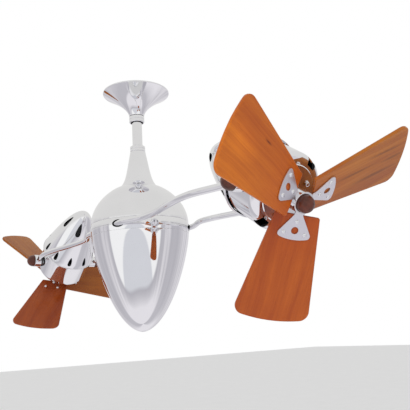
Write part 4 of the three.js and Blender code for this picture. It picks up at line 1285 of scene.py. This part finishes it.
class FAN_OT_brackets(bpy.types.Operator):
    """Make the blade brackets with their screws and domed nuts"""

    bl_idname = "fan.brackets"
    bl_label = "Blade brackets"

    def execute(self, context):
        sizes = settings("fan_blades")
        neck = sizes.neck_half
        side = [
            (sizes.plate_from, neck, 0),
            (sizes.plate_from + neck, neck, neck * 0.4),
            (sizes.plate_reach, sizes.plate_half, sizes.plate_corner),
        ]
        tip = (sizes.plate_reach + sizes.plate_crown, 0, sizes.plate_half / 2)
        fastened = [(sizes.inner_screw, 0)]
        fastened += [(sizes.outer_screw, sizes.screw_side), (sizes.outer_screw, -sizes.screw_side)]
        for head in HEADS:
            for index in range(BLADES):
                node, place = f"{head}_blade_bracket_{index + 1}", blade_frame(head, index)
                body = f"{head}_fan"
                hole = moved(cylinder(sizes.hole, -sizes.plate, sizes.plate), shift(sizes.hole_at))
                steel = carved(plate(symmetric(side, tip), sizes.plate), hole)
                steel = moved(eased(steel, FINE_EDGE, 2, 60), place)
                finished(f"{node}_plate", steel, satin_chrome(), body, node)
                fasteners = [
                    moved(part(), place @ shift(x, y))
                    for x, y in fastened
                    for part in (self.screw, self.nut)
                ]
                finished(f"{node}_screws", joined(*fasteners), chrome(), body, node)
        return {"FINISHED"}

    def screw(self):
        """A pan head with a cross slot."""
        sizes = settings("fan_blades")
        face, height = sizes.plate / 2, 0.0022
        slots = []
        for turn in (0, QUARTER):
            bm = bmesh.new()
            bmesh.ops.create_cube(bm, size=1)
            bmesh.ops.scale(bm, vec=(sizes.screw, 0.0007, 0.0012), verts=bm.verts)
            slots.append(moved(bm, rotation(turn, "Z")))
        slot = moved(carved(*slots, "UNION"), shift(z=face + height))
        return carved(domed(sizes.screw, face, height, face, 0.7), slot)

    def nut(self):
        """A hexagon with a dome on it, at the back of the blade."""
        sizes = settings("fan_blades")
        back = -sizes.plate / 2 - 2 * GAP - sizes.thickness
        flats, radius = 0.0032, sizes.nut
        bm = bmesh.new()
        bmesh.ops.create_cone(
            bm, cap_ends=True, segments=6, radius1=radius, radius2=radius, depth=flats,
            matrix=shift(z=back - flats / 2),
        )
        eased(bm, COVER_EDGE, 2)
        return joined(bm, domed(radius * 0.8, back - flats, -0.0034, back - flats * 0.9))


class FAN_OT_inner_parts(bpy.types.Operator):
    """Give the CAD parts that stay in sight, inside the covers, their finishes"""

    bl_idname = "fan.inner_parts"
    bl_label = "Inner parts"

    def execute(self, context):
        finishes = settings("fan_finishes")
        by_slot = {
            "zinc_steel": metal("Zinc steel", finishes.steel, 0.28, 0.45, 0.00003, 0.1),
            "cast_metal": dull("Bare casting", finishes.casting, 0.55, 700.0, 0.0002, 0.9),
            "lamination": dull("Varnished iron", finishes.lamination, 0.55, 500.0, 0.0001, 0.4),
            "copper": metal("Ring metal", finishes.copper, 0.2, 0.35),
            "nylon": black_nylon(),
            "chrome": chrome(),
        }
        for part in frame["record"]["subparts"]:
            node = frame["nodes"][part["node"]]
            if not node.hide_render:
                node.data.materials.clear()
                node.data.materials.append(by_slot[part["material_slot"]])
        return {"FINISHED"}


class FAN_OT_stage(bpy.types.Operator):
    """Make the camera, the white room, the soft lights and the floor"""

    bl_idname = "fan.stage"
    bl_label = "Studio"

    def execute(self, context):
        scene = context.scene
        scene.view_settings.view_transform = "Standard"
        self.camera(scene)
        self.room(scene)
        self.lights(scene)
        self.floor(scene)
        return {"FINISHED"}

    def camera(self, scene):
        """The camera stands where the photograph was taken, below the fan's middle."""
        data = bpy.data.cameras.new("Camera")
        data.lens = settings("fan_stage").lens
        camera = bpy.data.objects.new("Camera", data)
        right, forward = Vector(CAMERA_RIGHT), Vector(CAMERA_FORWARD).normalized()
        right = (right - forward * right.dot(forward)).normalized()
        turn = Matrix((right, right.cross(forward), -forward)).transposed().to_4x4()
        x, y, z = CAMERA_PLACE
        place = Vector((x, y, arm_level() + z)) + right * CAMERA_ASIDE
        camera.matrix_world = Matrix.Translation(place) @ turn
        scene.collection.objects.link(camera)
        scene.camera = camera

    def room(self, scene):
        """A white background, and walls with soft bands that only light and mirrors see."""
        stage = settings("fan_stage")
        world = bpy.data.worlds.new("White room")
        world.use_nodes = True
        scene.world = world
        nodes = Nodes(world.node_tree)
        nodes.tree.nodes.clear()
        rays = nodes.add("LightPath")
        colours = {name: solid_colour(getattr(stage, name.lower())) for name in WALL_COLOURS}
        values = colours | {"Vector": nodes.add("TexCoord")["Generated"]}
        walls = nodes.group(studio_walls(), values)["Color"]
        seen = nodes.mix(rays["Is Glossy Ray"], (1, 1, 1, 1), walls)
        lit = nodes.maths("MAXIMUM", rays["Is Camera Ray"], rays["Is Glossy Ray"])
        lit = nodes.maths("MAXIMUM", lit, rays["Is Transmission Ray"])
        strength = nodes.ranged(lit, 0.0, 1.0, stage.room, stage.backdrop)
        background = nodes.add("Background", {"Color": seen, "Strength": strength})[0]
        nodes.add("OutputWorld", {"Surface": background})

    def lights(self, scene):
        """Large soft lamps that mirrors don't see."""
        centre = Vector((0, 0, -0.35))
        for name, place, size, share in LAMPS:
            data = bpy.data.lights.new(name, "AREA")
            data.shape = "SQUARE"
            data.size = size
            data.energy = settings("fan_stage").key * share
            lamp = bpy.data.objects.new(name, data)
            lamp.location = place
            lamp.rotation_euler = (centre - Vector(place)).to_track_quat("-Z", "Y").to_euler()
            lamp.visible_glossy = False
            scene.collection.objects.link(lamp)

    def floor(self, scene):
        stage = settings("fan_stage")
        bm = bmesh.new()
        bmesh.ops.create_grid(bm, x_segments=1, y_segments=1, size=stage.floor_size / 2)
        mesh = bpy.data.meshes.new("Floor")
        bm.to_mesh(mesh)
        bm.free()
        floor = bpy.data.objects.new("Floor", mesh)
        floor.location.z = -stage.floor_drop
        floor.visible_glossy = False
        scene.collection.objects.link(floor)
        material, nodes, shader, where = blank_material("Pale floor")
        tone = nodes.ranged(nodes.noise(where, 3.0, 3.0), 0.3, 0.7, 0.95, 0.97)
        nodes.fill(shader, {"Base Color": nodes.grey(tone), "Roughness": 0.9})
        mesh.materials.append(material)


OPERATORS = (
    FAN_OT_stage,
    FAN_OT_canopy,
    FAN_OT_body,
    FAN_OT_arms,
    FAN_OT_shells,
    FAN_OT_cans,
    FAN_OT_knobs,
    FAN_OT_hubs,
    FAN_OT_blades,
    FAN_OT_brackets,
    FAN_OT_inner_parts,
)


class FAN_PT_panel(bpy.types.Panel):
    """Lists the fan's pieces and their settings"""

    bl_idname = "FAN_PT_panel"
    bl_label = "Twin Head Ceiling Fan"
    bl_space_type = "VIEW_3D"
    bl_region_type = "UI"
    bl_category = "Ceiling Fan"

    def draw(self, context):
        for operator in OPERATORS:
            self.layout.operator(operator.bl_idname)
        for name, group in SETTINGS.items():
            box = self.layout.box()
            box.label(text=group.__name__)
            for key in group.__annotations__:
                box.prop(getattr(context.scene, name), key)


def register():
    for group in SETTINGS.values():
        bpy.utils.register_class(group)
    for operator in OPERATORS:
        bpy.utils.register_class(operator)
    bpy.utils.register_class(FAN_PT_panel)
    for name, group in SETTINGS.items():
        setattr(bpy.types.Scene, name, PointerProperty(type=group))


def unregister():
    for name in SETTINGS:
        delattr(bpy.types.Scene, name)
    bpy.utils.unregister_class(FAN_PT_panel)
    for operator in reversed(OPERATORS):
        bpy.utils.unregister_class(operator)
    for group in reversed(SETTINGS.values()):
        bpy.utils.unregister_class(group)


def main():
    register()
    for operator in OPERATORS:
        group, name = operator.bl_idname.split(".")
        getattr(getattr(bpy.ops, group), name)()


if __name__ == "__main__":
    main()
